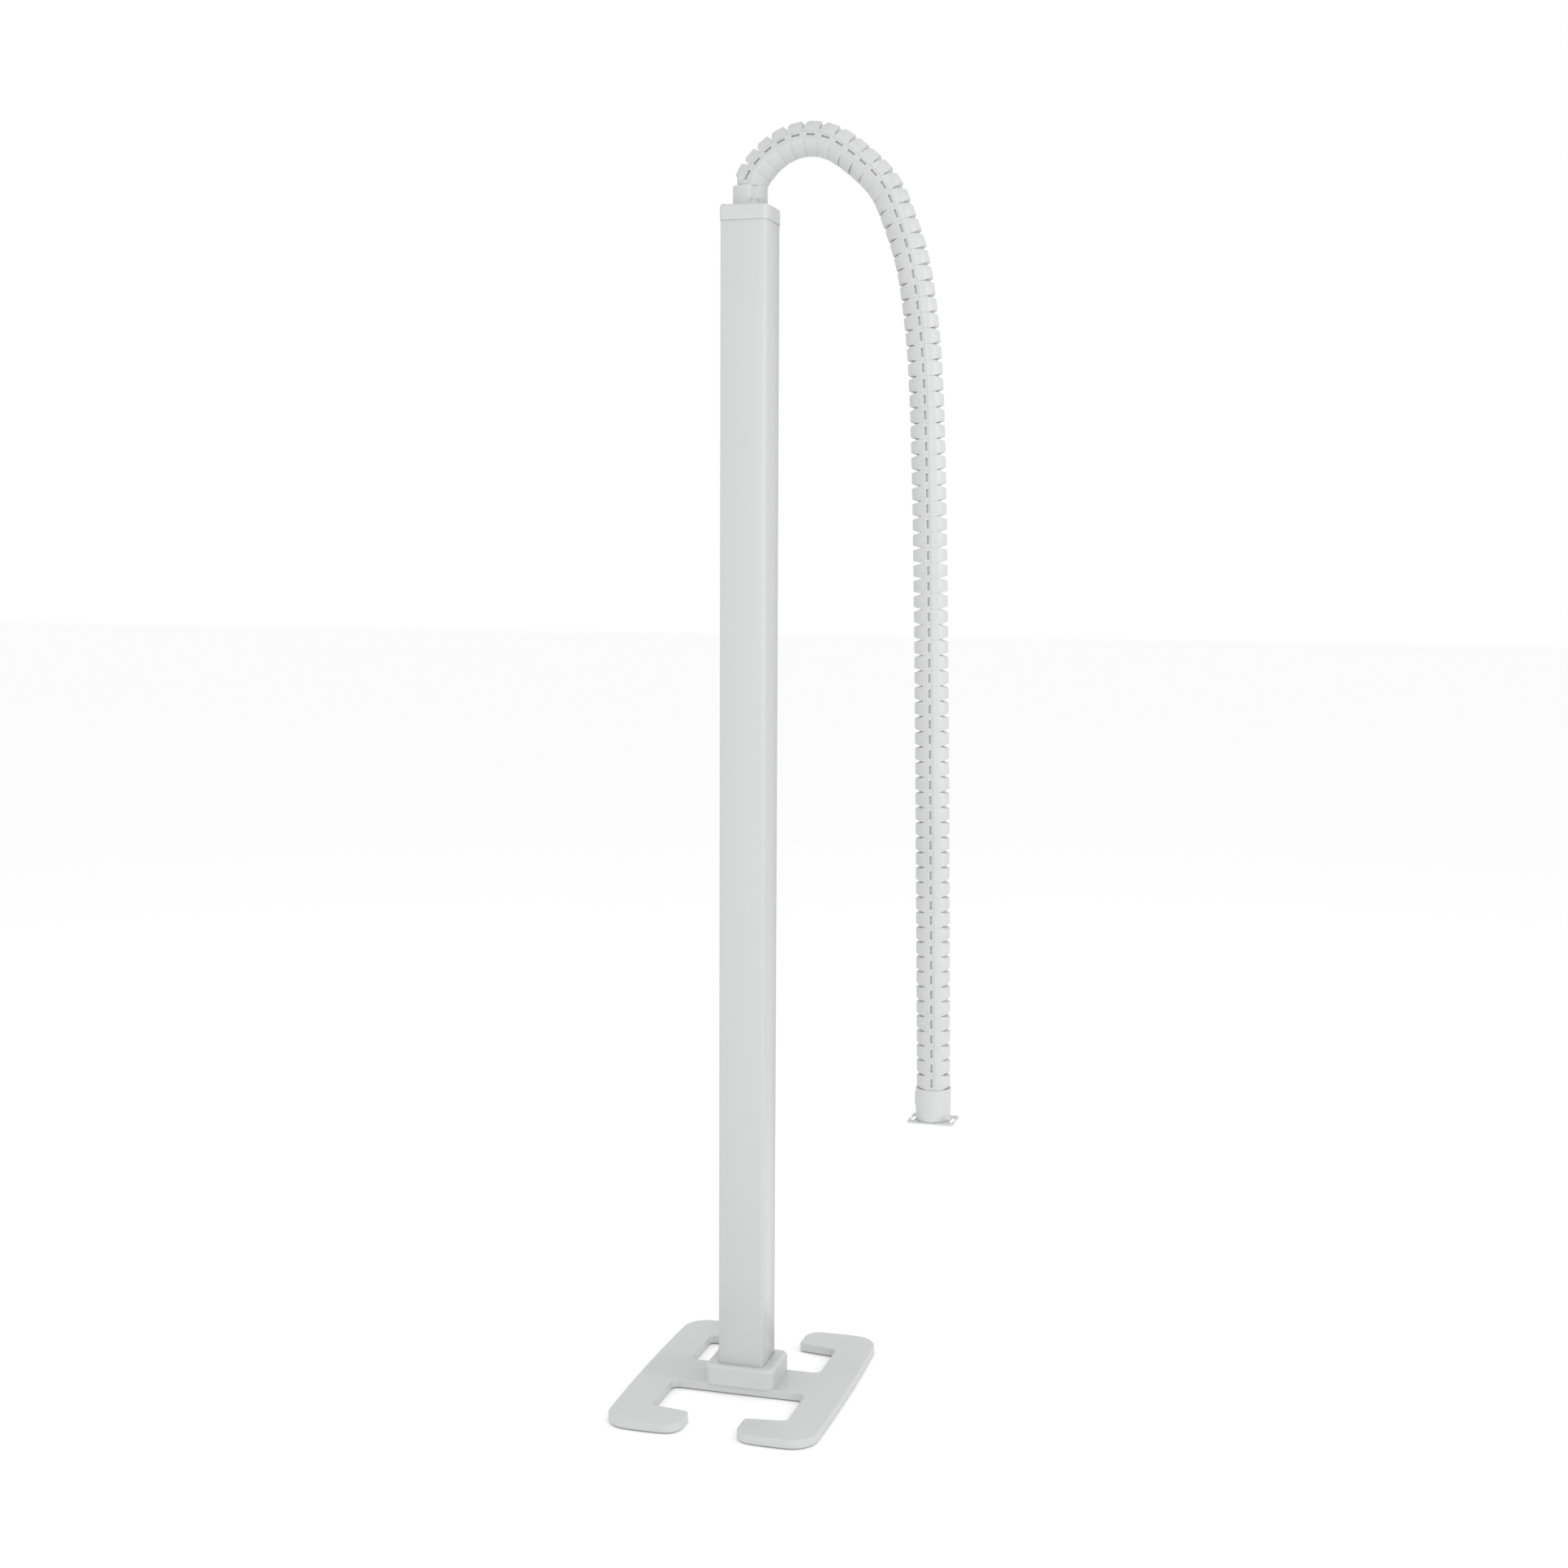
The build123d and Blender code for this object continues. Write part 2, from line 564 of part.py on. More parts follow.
def build_top_cap():
    inside = CAP_SIZE - 2 * CAP_WALL
    screw_places = [(CHANNEL_OFFSET * i, CHANNEL_OFFSET * j) for i, j in ALL_CORNERS]
    with BuildPart() as top_cap:
        with BuildSketch(Plane.XY.offset(POLE_TOP)):
            RectangleRounded(CAP_SIZE, CAP_SIZE, CAP_CORNER_RADIUS)
        extrude(amount=CAP_HEIGHT)
        fillet(top_cap.faces().sort_by(Axis.Z)[-1].edges(), CAP_EDGE_ROUND)
        with BuildSketch(Plane.XY.offset(POLE_TOP)):
            RectangleRounded(inside, inside, CAP_CORNER_RADIUS - CAP_WALL)
        extrude(amount=CAP_HEIGHT - CAP_ROOF, mode=Mode.SUBTRACT)
        with BuildSketch(Plane.XY.offset(CAP_BOSS_BOTTOM)):
            Circle(CAP_BOSS_RADIUS)
        extrude(amount=CAP_TOP - CAP_ROOF - CAP_BOSS_BOTTOM)
        with BuildSketch(Plane.XY.offset(POLE_TOP)):
            with Locations(*screw_places):
                Circle(CHANNEL_BOSS_RADIUS + CUT_PAST)
        extrude(amount=CAP_HEIGHT - CAP_ROOF)
        with BuildSketch(Plane.XY.offset(CAP_BOSS_BOTTOM)):
            Circle(BUSH_OUTER_RADIUS)
        extrude(amount=CAP_TOP - CAP_BOSS_BOTTOM, mode=Mode.SUBTRACT)
        with Locations(*[(x, y, CAP_TOP) for x, y in screw_places]):
            CounterSinkHole(
                CAP_SCREW_SHANK + HOLE_CLEARANCE,
                CAP_SCREW_HEAD + HEAD_CLEARANCE,
                CAP_HEIGHT + 1,
            )
        with Locations((-STOP_PIN_CIRCLE, 0, CAP_BOSS_BOTTOM)):
            Cylinder(
                STOP_PIN_RADIUS,
                STOP_PIN_LENGTH,
                align=(Align.CENTER, Align.CENTER, Align.MIN),
                mode=Mode.SUBTRACT,
            )
    save(top_cap.part, "top_cap")


def build_cap_hardware():
    places = [(CHANNEL_OFFSET * i, CHANNEL_OFFSET * j, CAP_TOP) for i, j in ALL_CORNERS]
    with BuildPart() as cap_screws:
        with Locations(*places):
            add(countersunk_screw(CAP_SCREW_SHANK, CAP_SCREW_HEAD, CAP_SCREW_LENGTH))
    save(cap_screws.part, "cap_screws")
    bush_bore = SWIVEL_RADIUS + RUNNING_CLEARANCE
    save(ring(BUSH_OUTER_RADIUS, bush_bore, CAP_BOSS_BOTTOM, CAP_TOP), "swivel_bush")
    with BuildPart() as stop_pin:
        with Locations((-STOP_PIN_CIRCLE, 0, STOP_RING_BOTTOM - CUT_PAST)):
            Cylinder(
                STOP_PIN_RADIUS, STOP_PIN_LENGTH, align=(Align.CENTER, Align.CENTER, Align.MIN)
            )
    save(stop_pin.part, "stop_pin")


def build_swivel_cuff():
    collar_bottom = CAP_TOP + AXIAL_PLAY
    groove_bottom = STOP_RING_BOTTOM - GROOVE_WIDTH
    with BuildPart() as swivel_cuff:
        add(ring(TOP_CUFF_RADIUS, CUFF_BORE_RADIUS, collar_bottom, CUFF_TOP))
        fillet(
            swivel_cuff.edges().group_by(Axis.Z)[-1].sort_by(SortBy.LENGTH)[-1],
            CUFF_EDGE_ROUND,
        )
        add(
            cut_front_of_cuff(0, collar_bottom, CUFF_TOP, TOP_CUFF_RADIUS, TOP_CUFF_SLOT_TURN),
            mode=Mode.SUBTRACT,
        )
        add(ring(SWIVEL_RADIUS, CUFF_BORE_RADIUS, NECK_BOTTOM, collar_bottom))
        add(
            ring(
                SWIVEL_RADIUS + 1,
                SWIVEL_RADIUS - GROOVE_BITE,
                groove_bottom,
                groove_bottom + GROOVE_WIDTH,
            ),
            mode=Mode.SUBTRACT,
        )
    save(swivel_cuff.part, "swivel_cuff")


def build_swivel_stops():
    lug_half_width = STOP_LUG_RADIUS * sin(radians(STOP_LUG_HALF_ANGLE))
    with BuildPart() as stop_ring:
        with BuildSketch(Plane.XY.offset(STOP_RING_BOTTOM)):
            Circle(STOP_LUG_RADIUS)
            with Locations((-STOP_LUG_RADIUS / 2, 0)):
                Rectangle(3 * STOP_LUG_RADIUS, 3 * STOP_LUG_RADIUS, mode=Mode.SUBTRACT)
            Circle(STOP_RING_RADIUS)
            with Locations((STOP_RING_RADIUS, 0)):
                Rectangle(2 * (STOP_LUG_RADIUS - STOP_RING_RADIUS), 2 * lug_half_width)
            Circle(SWIVEL_RADIUS, mode=Mode.SUBTRACT)
        extrude(amount=STOP_RING_THICKNESS)
    save(stop_ring.part, "stop_ring")
    clip_bottom = STOP_RING_BOTTOM - CIRCLIP_THICKNESS - CIRCLIP_PLAY
    save(circlip(SWIVEL_RADIUS + 2, SWIVEL_RADIUS - CIRCLIP_BITE, clip_bottom), "cuff_circlip")


# ======================= hose =======================


def bend_radii(route):
    """One radius for each inner corner: as large as the two runs beside it allow."""
    radii = []
    for before, corner, after in zip(route, route[1:], route[2:]):
        run_in = Vector(*corner) - Vector(*before)
        run_out = Vector(*after) - Vector(*corner)
        half_turn = radians(run_in.get_angle(run_out)) / 2
        shorter = min(run_in.length, run_out.length)
        radii.append(LONGEST_PART_OF_RUN * shorter / tan(half_turn))
    return radii


def build_cable_hose():
    route = [(x, 0, z) for x, z in HOSE_ROUTE]
    radii = bend_radii(route)
    with BuildPart() as cable_hose:
        with BuildLine() as path:
            FilletPolyline(*route, radius=radii)
        with BuildSketch(Plane(origin=route[0], z_dir=(0, 0, 1))):
            Circle(HOSE_RADIUS)
            Circle(HOSE_BORE_RADIUS, mode=Mode.SUBTRACT)
        sweep()
    save(cable_hose.part, "cable_hose")
    length = sum(edge.length for edge in path.edges())
    section = pi * (HOSE_RADIUS**2 - HOSE_BORE_RADIUS**2)
    print("hose radii", [round(r) for r in radii])
    print("hose length", round(length))
    print("tube volume over section times length", round(cable_hose.part.volume / section / length, 4))


def build_hose_couplers():
    for name, bottom, top, x in [
        ("upper_coupler", CUFF_TOP - COUPLER_IN_UPPER_CUFF, CUFF_TOP + UPPER_COUPLER_IN_HOSE, 0),
        ("lower_coupler", END_CUFF_TOP - COUPLER_IN_END_CUFF, END_CUFF_TOP + LOWER_COUPLER_IN_HOSE, END_X),
    ]:
        save(ring(COUPLER_OUTER_RADIUS, COUPLER_INNER_RADIUS, bottom, top, x), name)


def build_end_cuff():
    with BuildPart() as end_cuff:
        add(ring(END_CUFF_RADIUS, CUFF_BORE_RADIUS, END_CUFF_BOTTOM, END_CUFF_TOP, END_X))
        fillet(
            end_cuff.edges().group_by(Axis.Z)[-1].sort_by(SortBy.LENGTH)[-1],
            CUFF_EDGE_ROUND,
        )
        add(
            ring(SWIVEL_RADIUS + RUNNING_CLEARANCE, SOLID, END_CUFF_BOTTOM, END_LIP_TOP, END_X),
            mode=Mode.SUBTRACT,
        )
        add(
            ring(END_CHAMBER_RADIUS, SOLID, END_LIP_TOP, END_CHAMBER_TOP, END_X),
            mode=Mode.SUBTRACT,
        )
        add(
            cut_front_of_cuff(END_X, END_CUFF_BOTTOM, END_CUFF_TOP, END_CUFF_RADIUS, END_CUFF_SLOT_TURN),
            mode=Mode.SUBTRACT,
        )
    save(end_cuff.part, "end_cuff")


def build_mounting_flange():
    clip_bottom = END_LIP_TOP + AXIAL_PLAY
    with BuildPart() as mounting_flange:
        with BuildSketch(Plane.XY.offset(FLANGE_BOTTOM)):
            with Locations((END_X, 0)):
                RectangleRounded(FLANGE_WIDTH, FLANGE_DEPTH, FLANGE_CORNER_RADIUS)
            with Locations((END_X - FLANGE_SLOT_X, 0), (END_X + FLANGE_SLOT_X, 0)):
                SlotOverall(FLANGE_SLOT_LENGTH, FLANGE_SLOT_WIDTH, rotation=90, mode=Mode.SUBTRACT)
            with Locations((END_X - FLANGE_WIDTH / 2, 0), (END_X + FLANGE_WIDTH / 2, 0)):
                Rectangle(2 * (FLANGE_WIDTH / 2 - FLANGE_SLOT_X), FLANGE_MOUTH, mode=Mode.SUBTRACT)
        extrude(amount=FLANGE_THICKNESS)
        add(ring(SWIVEL_RADIUS, HUB_INNER_RADIUS, FLANGE_BOTTOM, HUB_TOP, END_X))
        with BuildSketch(Plane.XY.offset(FLANGE_BOTTOM)):
            with Locations((END_X, 0)):
                Circle(HUB_INNER_RADIUS)
        extrude(amount=FLANGE_THICKNESS, mode=Mode.SUBTRACT)
        add(
            ring(
                SWIVEL_RADIUS + 1,
                SWIVEL_RADIUS - GROOVE_BITE,
                clip_bottom,
                clip_bottom + GROOVE_WIDTH,
                END_X,
            ),
            mode=Mode.SUBTRACT,
        )
    save(mounting_flange.part, "mounting_flange")
    save(
        circlip(
            SWIVEL_RADIUS + CIRCLIP_STAND_OUT,
            SWIVEL_RADIUS - CIRCLIP_BITE,
            clip_bottom + CIRCLIP_PLAY,
            END_X,
        ),
        "flange_circlip",
    )


def main():
    os.makedirs("parts", exist_ok=True)
    build_foot_plate()
    build_floor_pads()
    build_pole_socket()
    build_pole_spigot()
    build_foot_fasteners()
    build_pole_walls()
    build_channel_divider()
    build_outlet_grommet()
    build_top_cap()
    build_cap_hardware()
    build_swivel_cuff()
    build_swivel_stops()
    build_cable_hose()
    build_hose_couplers()
    build_end_cuff()
    build_mounting_flange()


main()
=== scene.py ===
"""Builds the finished look of a free-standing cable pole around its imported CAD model.

Metres, +Z up, origin on the floor under the middle of the foot. The hose hangs on the +X side and
the front is -Y. Each sub-assembly is a class that builds its pieces and dresses them.
"""
import json
import logging
import math
from dataclasses import dataclass, field
from enum import Enum
from typing import Callable, Iterable, Sequence, Union

import bpy
import numpy as np
from mathutils import Matrix, Vector


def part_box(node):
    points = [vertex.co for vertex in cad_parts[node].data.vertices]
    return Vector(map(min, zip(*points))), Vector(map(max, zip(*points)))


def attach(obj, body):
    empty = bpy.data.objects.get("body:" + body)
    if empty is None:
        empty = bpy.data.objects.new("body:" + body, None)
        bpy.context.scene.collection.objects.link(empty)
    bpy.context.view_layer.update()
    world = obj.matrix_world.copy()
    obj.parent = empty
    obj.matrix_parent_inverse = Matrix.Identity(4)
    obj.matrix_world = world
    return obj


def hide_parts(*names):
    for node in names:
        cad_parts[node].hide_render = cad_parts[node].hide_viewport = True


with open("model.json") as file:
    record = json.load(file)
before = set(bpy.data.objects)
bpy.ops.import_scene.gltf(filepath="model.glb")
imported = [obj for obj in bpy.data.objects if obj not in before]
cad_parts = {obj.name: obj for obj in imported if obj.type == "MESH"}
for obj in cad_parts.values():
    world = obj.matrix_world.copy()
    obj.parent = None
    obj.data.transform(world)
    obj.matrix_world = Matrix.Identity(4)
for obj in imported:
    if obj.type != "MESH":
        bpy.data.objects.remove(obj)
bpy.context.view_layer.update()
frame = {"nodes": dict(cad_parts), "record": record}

LOG = logging.getLogger("cable_pole")
MM = 0.001
FULL_TURN = 2 * math.pi
WALL_SIDES = ("front", "back", "left", "right")
# How much of a side's turn to each side of a line still counts as on it.
LINE_SHARE = 0.55


class Body(Enum):
    """The moving bodies of the model."""

    STAND = "stand"
    HOSE = "hose"
    FLANGE = "flange"


class Slot(Enum):
    """The record's material slots."""

    COAT = "grey_powder_coat"
    SMOOTH_COAT = "grey_powder_coat_smooth"
    PLASTIC = "grey_plastic"
    HOSE = "hose_plastic"
    DIVIDER = "divider_plastic"
    BUSH = "bush_plastic"
    RUBBER = "rubber"
    ALUMINIUM = "aluminium"
    ZINC = "zinc_steel"
    SPRING = "spring_steel"
    BRASS = "brass"


# ======================= shader helpers =======================


class Signal:
    """One output of a shader node, with the arithmetic that the finishes use."""

    def __init__(self, sheet: "NodeSheet", socket: bpy.types.NodeSocket) -> None:
        """Wraps a socket.

        Args:
            sheet: The node sheet that the socket belongs to.
            socket: The output socket.
        """
        self.sheet = sheet
        self.socket = socket

    def _math(self, operation: str, first: "Number", second: "Number") -> "Signal":
        """Adds one Math node.

        Args:
            operation: The node's operation.
            first: Its first input.
            second: Its second input.

        Returns:
            The node's output.
        """
        return self.sheet.node("ShaderNodeMath", {"operation": operation}, {0: first, 1: second})

    def __add__(self, other: "Number") -> "Signal":
        """Returns this signal plus another."""
        return self._math("ADD", self, other)

    def __radd__(self, other: float) -> "Signal":
        """Returns a number plus this signal."""
        return self._math("ADD", other, self)

    def __sub__(self, other: "Number") -> "Signal":
        """Returns this signal minus another."""
        return self._math("SUBTRACT", self, other)

    def __rsub__(self, other: float) -> "Signal":
        """Returns a number minus this signal."""
        return self._math("SUBTRACT", other, self)

    def __mul__(self, other: "Number") -> "Signal":
        """Returns this signal times another."""
        return self._math("MULTIPLY", self, other)

    def __rmul__(self, other: float) -> "Signal":
        """Returns a number times this signal."""
        return self._math("MULTIPLY", other, self)


Number = Union[Signal, float]


class NodeSheet:
    """The node tree of one material."""

    def __init__(self, name: str) -> None:
        """Starts an empty material.

        Args:
            name: The material's name.
        """
        self.material = bpy.data.materials.new(name)
        self.material.use_nodes = True
        self.tree = self.material.node_tree
        self.tree.nodes.clear()

    def node(self, kind: str, settings: dict, inputs: dict, output: Union[int, str] = 0) -> Signal:
        """Adds a node.

        Args:
            kind: The node's type.
            settings: Its properties, set before its inputs. A ramp's stops are given as "stops".
            inputs: Values or signals for its sockets, by name or number.
            output: The output to return.

        Returns:
            That output as a signal.
        """
        made = self.tree.nodes.new(kind)
        for key, value in settings.items():
            if key == "stops":
                self._set_stops(made.color_ramp, value)
            else:
                setattr(made, key, value)
        for key, value in inputs.items():
            if isinstance(value, Signal):
                self.tree.links.new(value.socket, made.inputs[key])
            else:
                made.inputs[key].default_value = value
        return Signal(self, made.outputs[output])

    @staticmethod
    def _set_stops(ramp: bpy.types.ColorRamp, stops: Sequence[tuple]) -> None:
        """Sets a colour ramp's stops.

        Args:
            ramp: The ramp.
            stops: Pairs of place and grey level.
        """
        while len(ramp.elements) < len(stops):
            ramp.elements.new(1.0)
        for element, (place, level) in zip(ramp.elements, stops):
            element.position = place
            element.color = (level, level, level, 1.0)

    def place(self, scale: Sequence[float] = (1.0, 1.0, 1.0)) -> Signal:
        """Returns Object coordinates, stretched by a scale."""
        own = self.node("ShaderNodeTexCoord", {}, {}, "Object")
        return self.node("ShaderNodeMapping", {}, {"Vector": own, "Scale": scale})

    def part_of_place(self, axis: str) -> Signal:
        """Returns one of the Object coordinates, in metres."""
        return self.node("ShaderNodeSeparateXYZ", {}, {"Vector": self.place()}, axis)

    def noise(self, size: float, detail: float, stretch: Sequence[float] = (1.0, 1.0, 1.0)) -> Signal:
        """Adds a noise pattern.

        Args:
            size: The size of its largest blotches, in metres.
            detail: How many finer layers it has.
            stretch: A scale for each axis.

        Returns:
            The pattern, from 0 to 1.
        """
        return self.node(
            "ShaderNodeTexNoise",
            {},
            {"Vector": self.place(stretch), "Scale": 1.0 / size, "Detail": detail},
            "Fac",
        )

    def ramp(self, signal: Signal, low: float, high: float) -> Signal:
        """Returns the signal spread from 0 at low to 1 at high."""
        stops = [(low, 0.0), (high, 1.0)]
        return self.node("ShaderNodeValToRGB", {"stops": stops}, {"Fac": signal}, "Color")

    def tint(self, amount: Signal, plain: Sequence[float], marked: Sequence[float]) -> Signal:
        """Returns the plain colour, going to the marked one with the amount."""
        return self.node(
            "ShaderNodeMix",
            {"data_type": "RGBA"},
            {"Factor": amount, 6: (*plain, 1.0), 7: (*marked, 1.0)},
            2,
        )

    def bump(self, height: Signal, depth: float, below: Union[Signal, None] = None) -> Signal:
        """Returns a normal for a relief of that depth in metres, on another relief if one is given."""
        inputs = {"Height": height, "Distance": depth, "Strength": 1.0}
        if below is not None:
            inputs["Normal"] = below
        return self.node("ShaderNodeBump", {}, inputs)

    def finish(self, constants: dict, varied: dict) -> bpy.types.Material:
        """Closes the material with a Principled shader.

        Args:
            constants: Socket values that are the same all over.
            varied: Signals that change over the surface.

        Returns:
            The material.
        """
        surface = self.node("ShaderNodeBsdfPrincipled", {}, {**constants, **varied})
        self.node_out(surface)
        return self.material

    def node_out(self, surface: Signal) -> None:
        """Links the shader to the material's output."""
        output = self.tree.nodes.new("ShaderNodeOutputMaterial")
        self.tree.links.new(surface.socket, output.inputs["Surface"])


# ======================= finishes =======================


@dataclass(frozen=True)
class MouldedPlastic:
    """Satin moulded plastic with a fine spark-eroded grain and slight clouding."""

    name: str
    slot: Slot
    colour: tuple
    clouded: tuple
    roughness: float = 0.42
    grain: float = 0.5 * MM
    grain_depth: float = 0.012 * MM
    cloud: float = 45 * MM

    def material(self) -> bpy.types.Material:
        """Returns the finish as a material."""
        sheet = NodeSheet(self.name)
        cloud = sheet.ramp(sheet.noise(self.cloud, 3.0), 0.35, 0.7)
        flow = sheet.noise(9 * MM, 2.0, (1.0, 1.0, 0.25))
        grain = sheet.noise(self.grain, 2.0)
        return sheet.finish(
            {"Specular IOR Level": 0.5, "Sheen Weight": 0.03},
            {
                "Base Color": sheet.tint(cloud, self.colour, self.clouded),
                "Roughness": self.roughness - 0.05 + 0.07 * cloud + 0.05 * grain,
                "Normal": sheet.bump(grain, self.grain_depth, sheet.bump(flow, 0.05 * MM)),
            },
        )


@dataclass(frozen=True)
class PowderCoat:
    """Powder coat on metal, with orange peel and a fine speckle."""

    name: str
    slot: Slot
    colour: tuple
    speckled: tuple
    roughness: float = 0.38
    peel: float = 2.2 * MM
    peel_depth: float = 0.02 * MM
    grain_depth: float = 0.006 * MM
    crown: float = 0.0
    crown_reach: float = 35 * MM

    def material(self) -> bpy.types.Material:
        """Returns the finish as a material."""
        sheet = NodeSheet(self.name)
        speckle = sheet.ramp(sheet.noise(0.7 * MM, 1.0), 0.58, 0.75)
        cloud = sheet.ramp(sheet.noise(120 * MM, 2.0), 0.1, 0.9)
        peel = sheet.noise(self.peel, 1.5)
        grain = sheet.noise(0.35 * MM, 1.0)
        skin = sheet.bump(peel, self.peel_depth)
        if self.crown:
            across = sheet.part_of_place("X") * (1 / self.crown_reach)
            deep = sheet.part_of_place("Y") * (1 / self.crown_reach)
            skin = sheet.bump(2.0 - across * across - deep * deep, self.crown, skin)
        return sheet.finish(
            {"Specular IOR Level": 0.5},
            {
                "Base Color": sheet.tint(0.35 * speckle + 0.4 * cloud, self.colour, self.speckled),
                "Roughness": self.roughness - 0.01 + 0.02 * cloud + 0.04 * speckle,
                "Normal": sheet.bump(grain, self.grain_depth, skin),
            },
        )


@dataclass(frozen=True)
class BareMetal:
    """Plated or machined metal with fine tool lines and stains."""

    name: str
    slot: Slot
    colour: tuple
    stained: tuple
    roughness: float = 0.3
    lines: tuple = (1.0, 1.0, 14.0)

    def material(self) -> bpy.types.Material:
        """Returns the finish as a material."""
        sheet = NodeSheet(self.name)
        stain = sheet.ramp(sheet.noise(6 * MM, 3.0), 0.4, 0.75)
        lines = sheet.noise(1.6 * MM, 3.0, self.lines)
        return sheet.finish(
            {"Metallic": 1.0},
            {
                "Base Color": sheet.tint(0.6 * stain, self.colour, self.stained),
                "Roughness": self.roughness - 0.06 + 0.12 * stain + 0.12 * lines,
                "Normal": sheet.bump(lines, 0.01 * MM),
            },
        )


@dataclass(frozen=True)
class MatteRubber:
    """Matte rubber with a pebbled skin and pale dust."""

    name: str
    slot: Slot
    colour: tuple
    dusty: tuple
    roughness: float = 0.72

    def material(self) -> bpy.types.Material:
        """Returns the finish as a material."""
        sheet = NodeSheet(self.name)
        dust = sheet.ramp(sheet.noise(14 * MM, 4.0), 0.45, 0.8)
        pebble = sheet.noise(0.9 * MM, 2.0)
        return sheet.finish(
            {"Specular IOR Level": 0.35},
            {
                "Base Color": sheet.tint(0.6 * dust, self.colour, self.dusty),
                "Roughness": self.roughness + 0.15 * dust,
                "Normal": sheet.bump(pebble, 0.04 * MM),
            },
        )


Finish = Union[MouldedPlastic, PowderCoat, BareMetal, MatteRubber]

FINISHES: dict = {
    finish.slot: finish
    for finish in (
        PowderCoat("foot_coat", Slot.COAT, (0.50, 0.503, 0.503), (0.472, 0.476, 0.478)),
        PowderCoat(
            "pole_coat",
            Slot.SMOOTH_COAT,
            (0.50, 0.503, 0.503),
            (0.48, 0.483, 0.485),
            roughness=0.3,
            peel=3 * MM,
            peel_depth=0.008 * MM,
            crown=3 * MM,
        ),
        MouldedPlastic("fitting_plastic", Slot.PLASTIC, (0.505, 0.507, 0.507), (0.485, 0.488, 0.49)),
        MouldedPlastic("hose_plastic_finish", Slot.HOSE, (0.50, 0.502, 0.502), (0.478, 0.481, 0.483), 0.4),
        MouldedPlastic("divider_finish", Slot.DIVIDER, (0.6, 0.6, 0.6), (0.56, 0.56, 0.56), 0.5),
        MouldedPlastic("bush_finish", Slot.BUSH, (0.84, 0.84, 0.81), (0.78, 0.78, 0.75), 0.35),
        MatteRubber("pad_rubber", Slot.RUBBER, (0.05, 0.05, 0.052), (0.12, 0.12, 0.12)),
        BareMetal("spigot_aluminium", Slot.ALUMINIUM, (0.76, 0.77, 0.78), (0.68, 0.69, 0.7), 0.32),
        BareMetal("zinc_plate", Slot.ZINC, (0.66, 0.67, 0.69), (0.55, 0.55, 0.52), 0.3, (1.0, 14.0, 1.0)),
        BareMetal("spring_steel_finish", Slot.SPRING, (0.3, 0.3, 0.32), (0.22, 0.2, 0.18), 0.35),
        BareMetal("brass_finish", Slot.BRASS, (0.8, 0.63, 0.33), (0.62, 0.47, 0.24), 0.28),
    )
}
MATERIALS: dict = {slot: finish.material() for slot, finish in FINISHES.items()}


def dress(piece: bpy.types.Object, slot: Slot) -> None:
    """Gives a piece one of the finishes.

    Args:
        piece: The piece, or a CAD node.
        slot: The material slot whose finish it takes.
    """
    piece.data.materials.clear()
    piece.data.materials.append(MATERIALS[slot])
    for polygon in piece.data.polygons:
        polygon.material_index = 0


# ======================= modelling helpers =======================


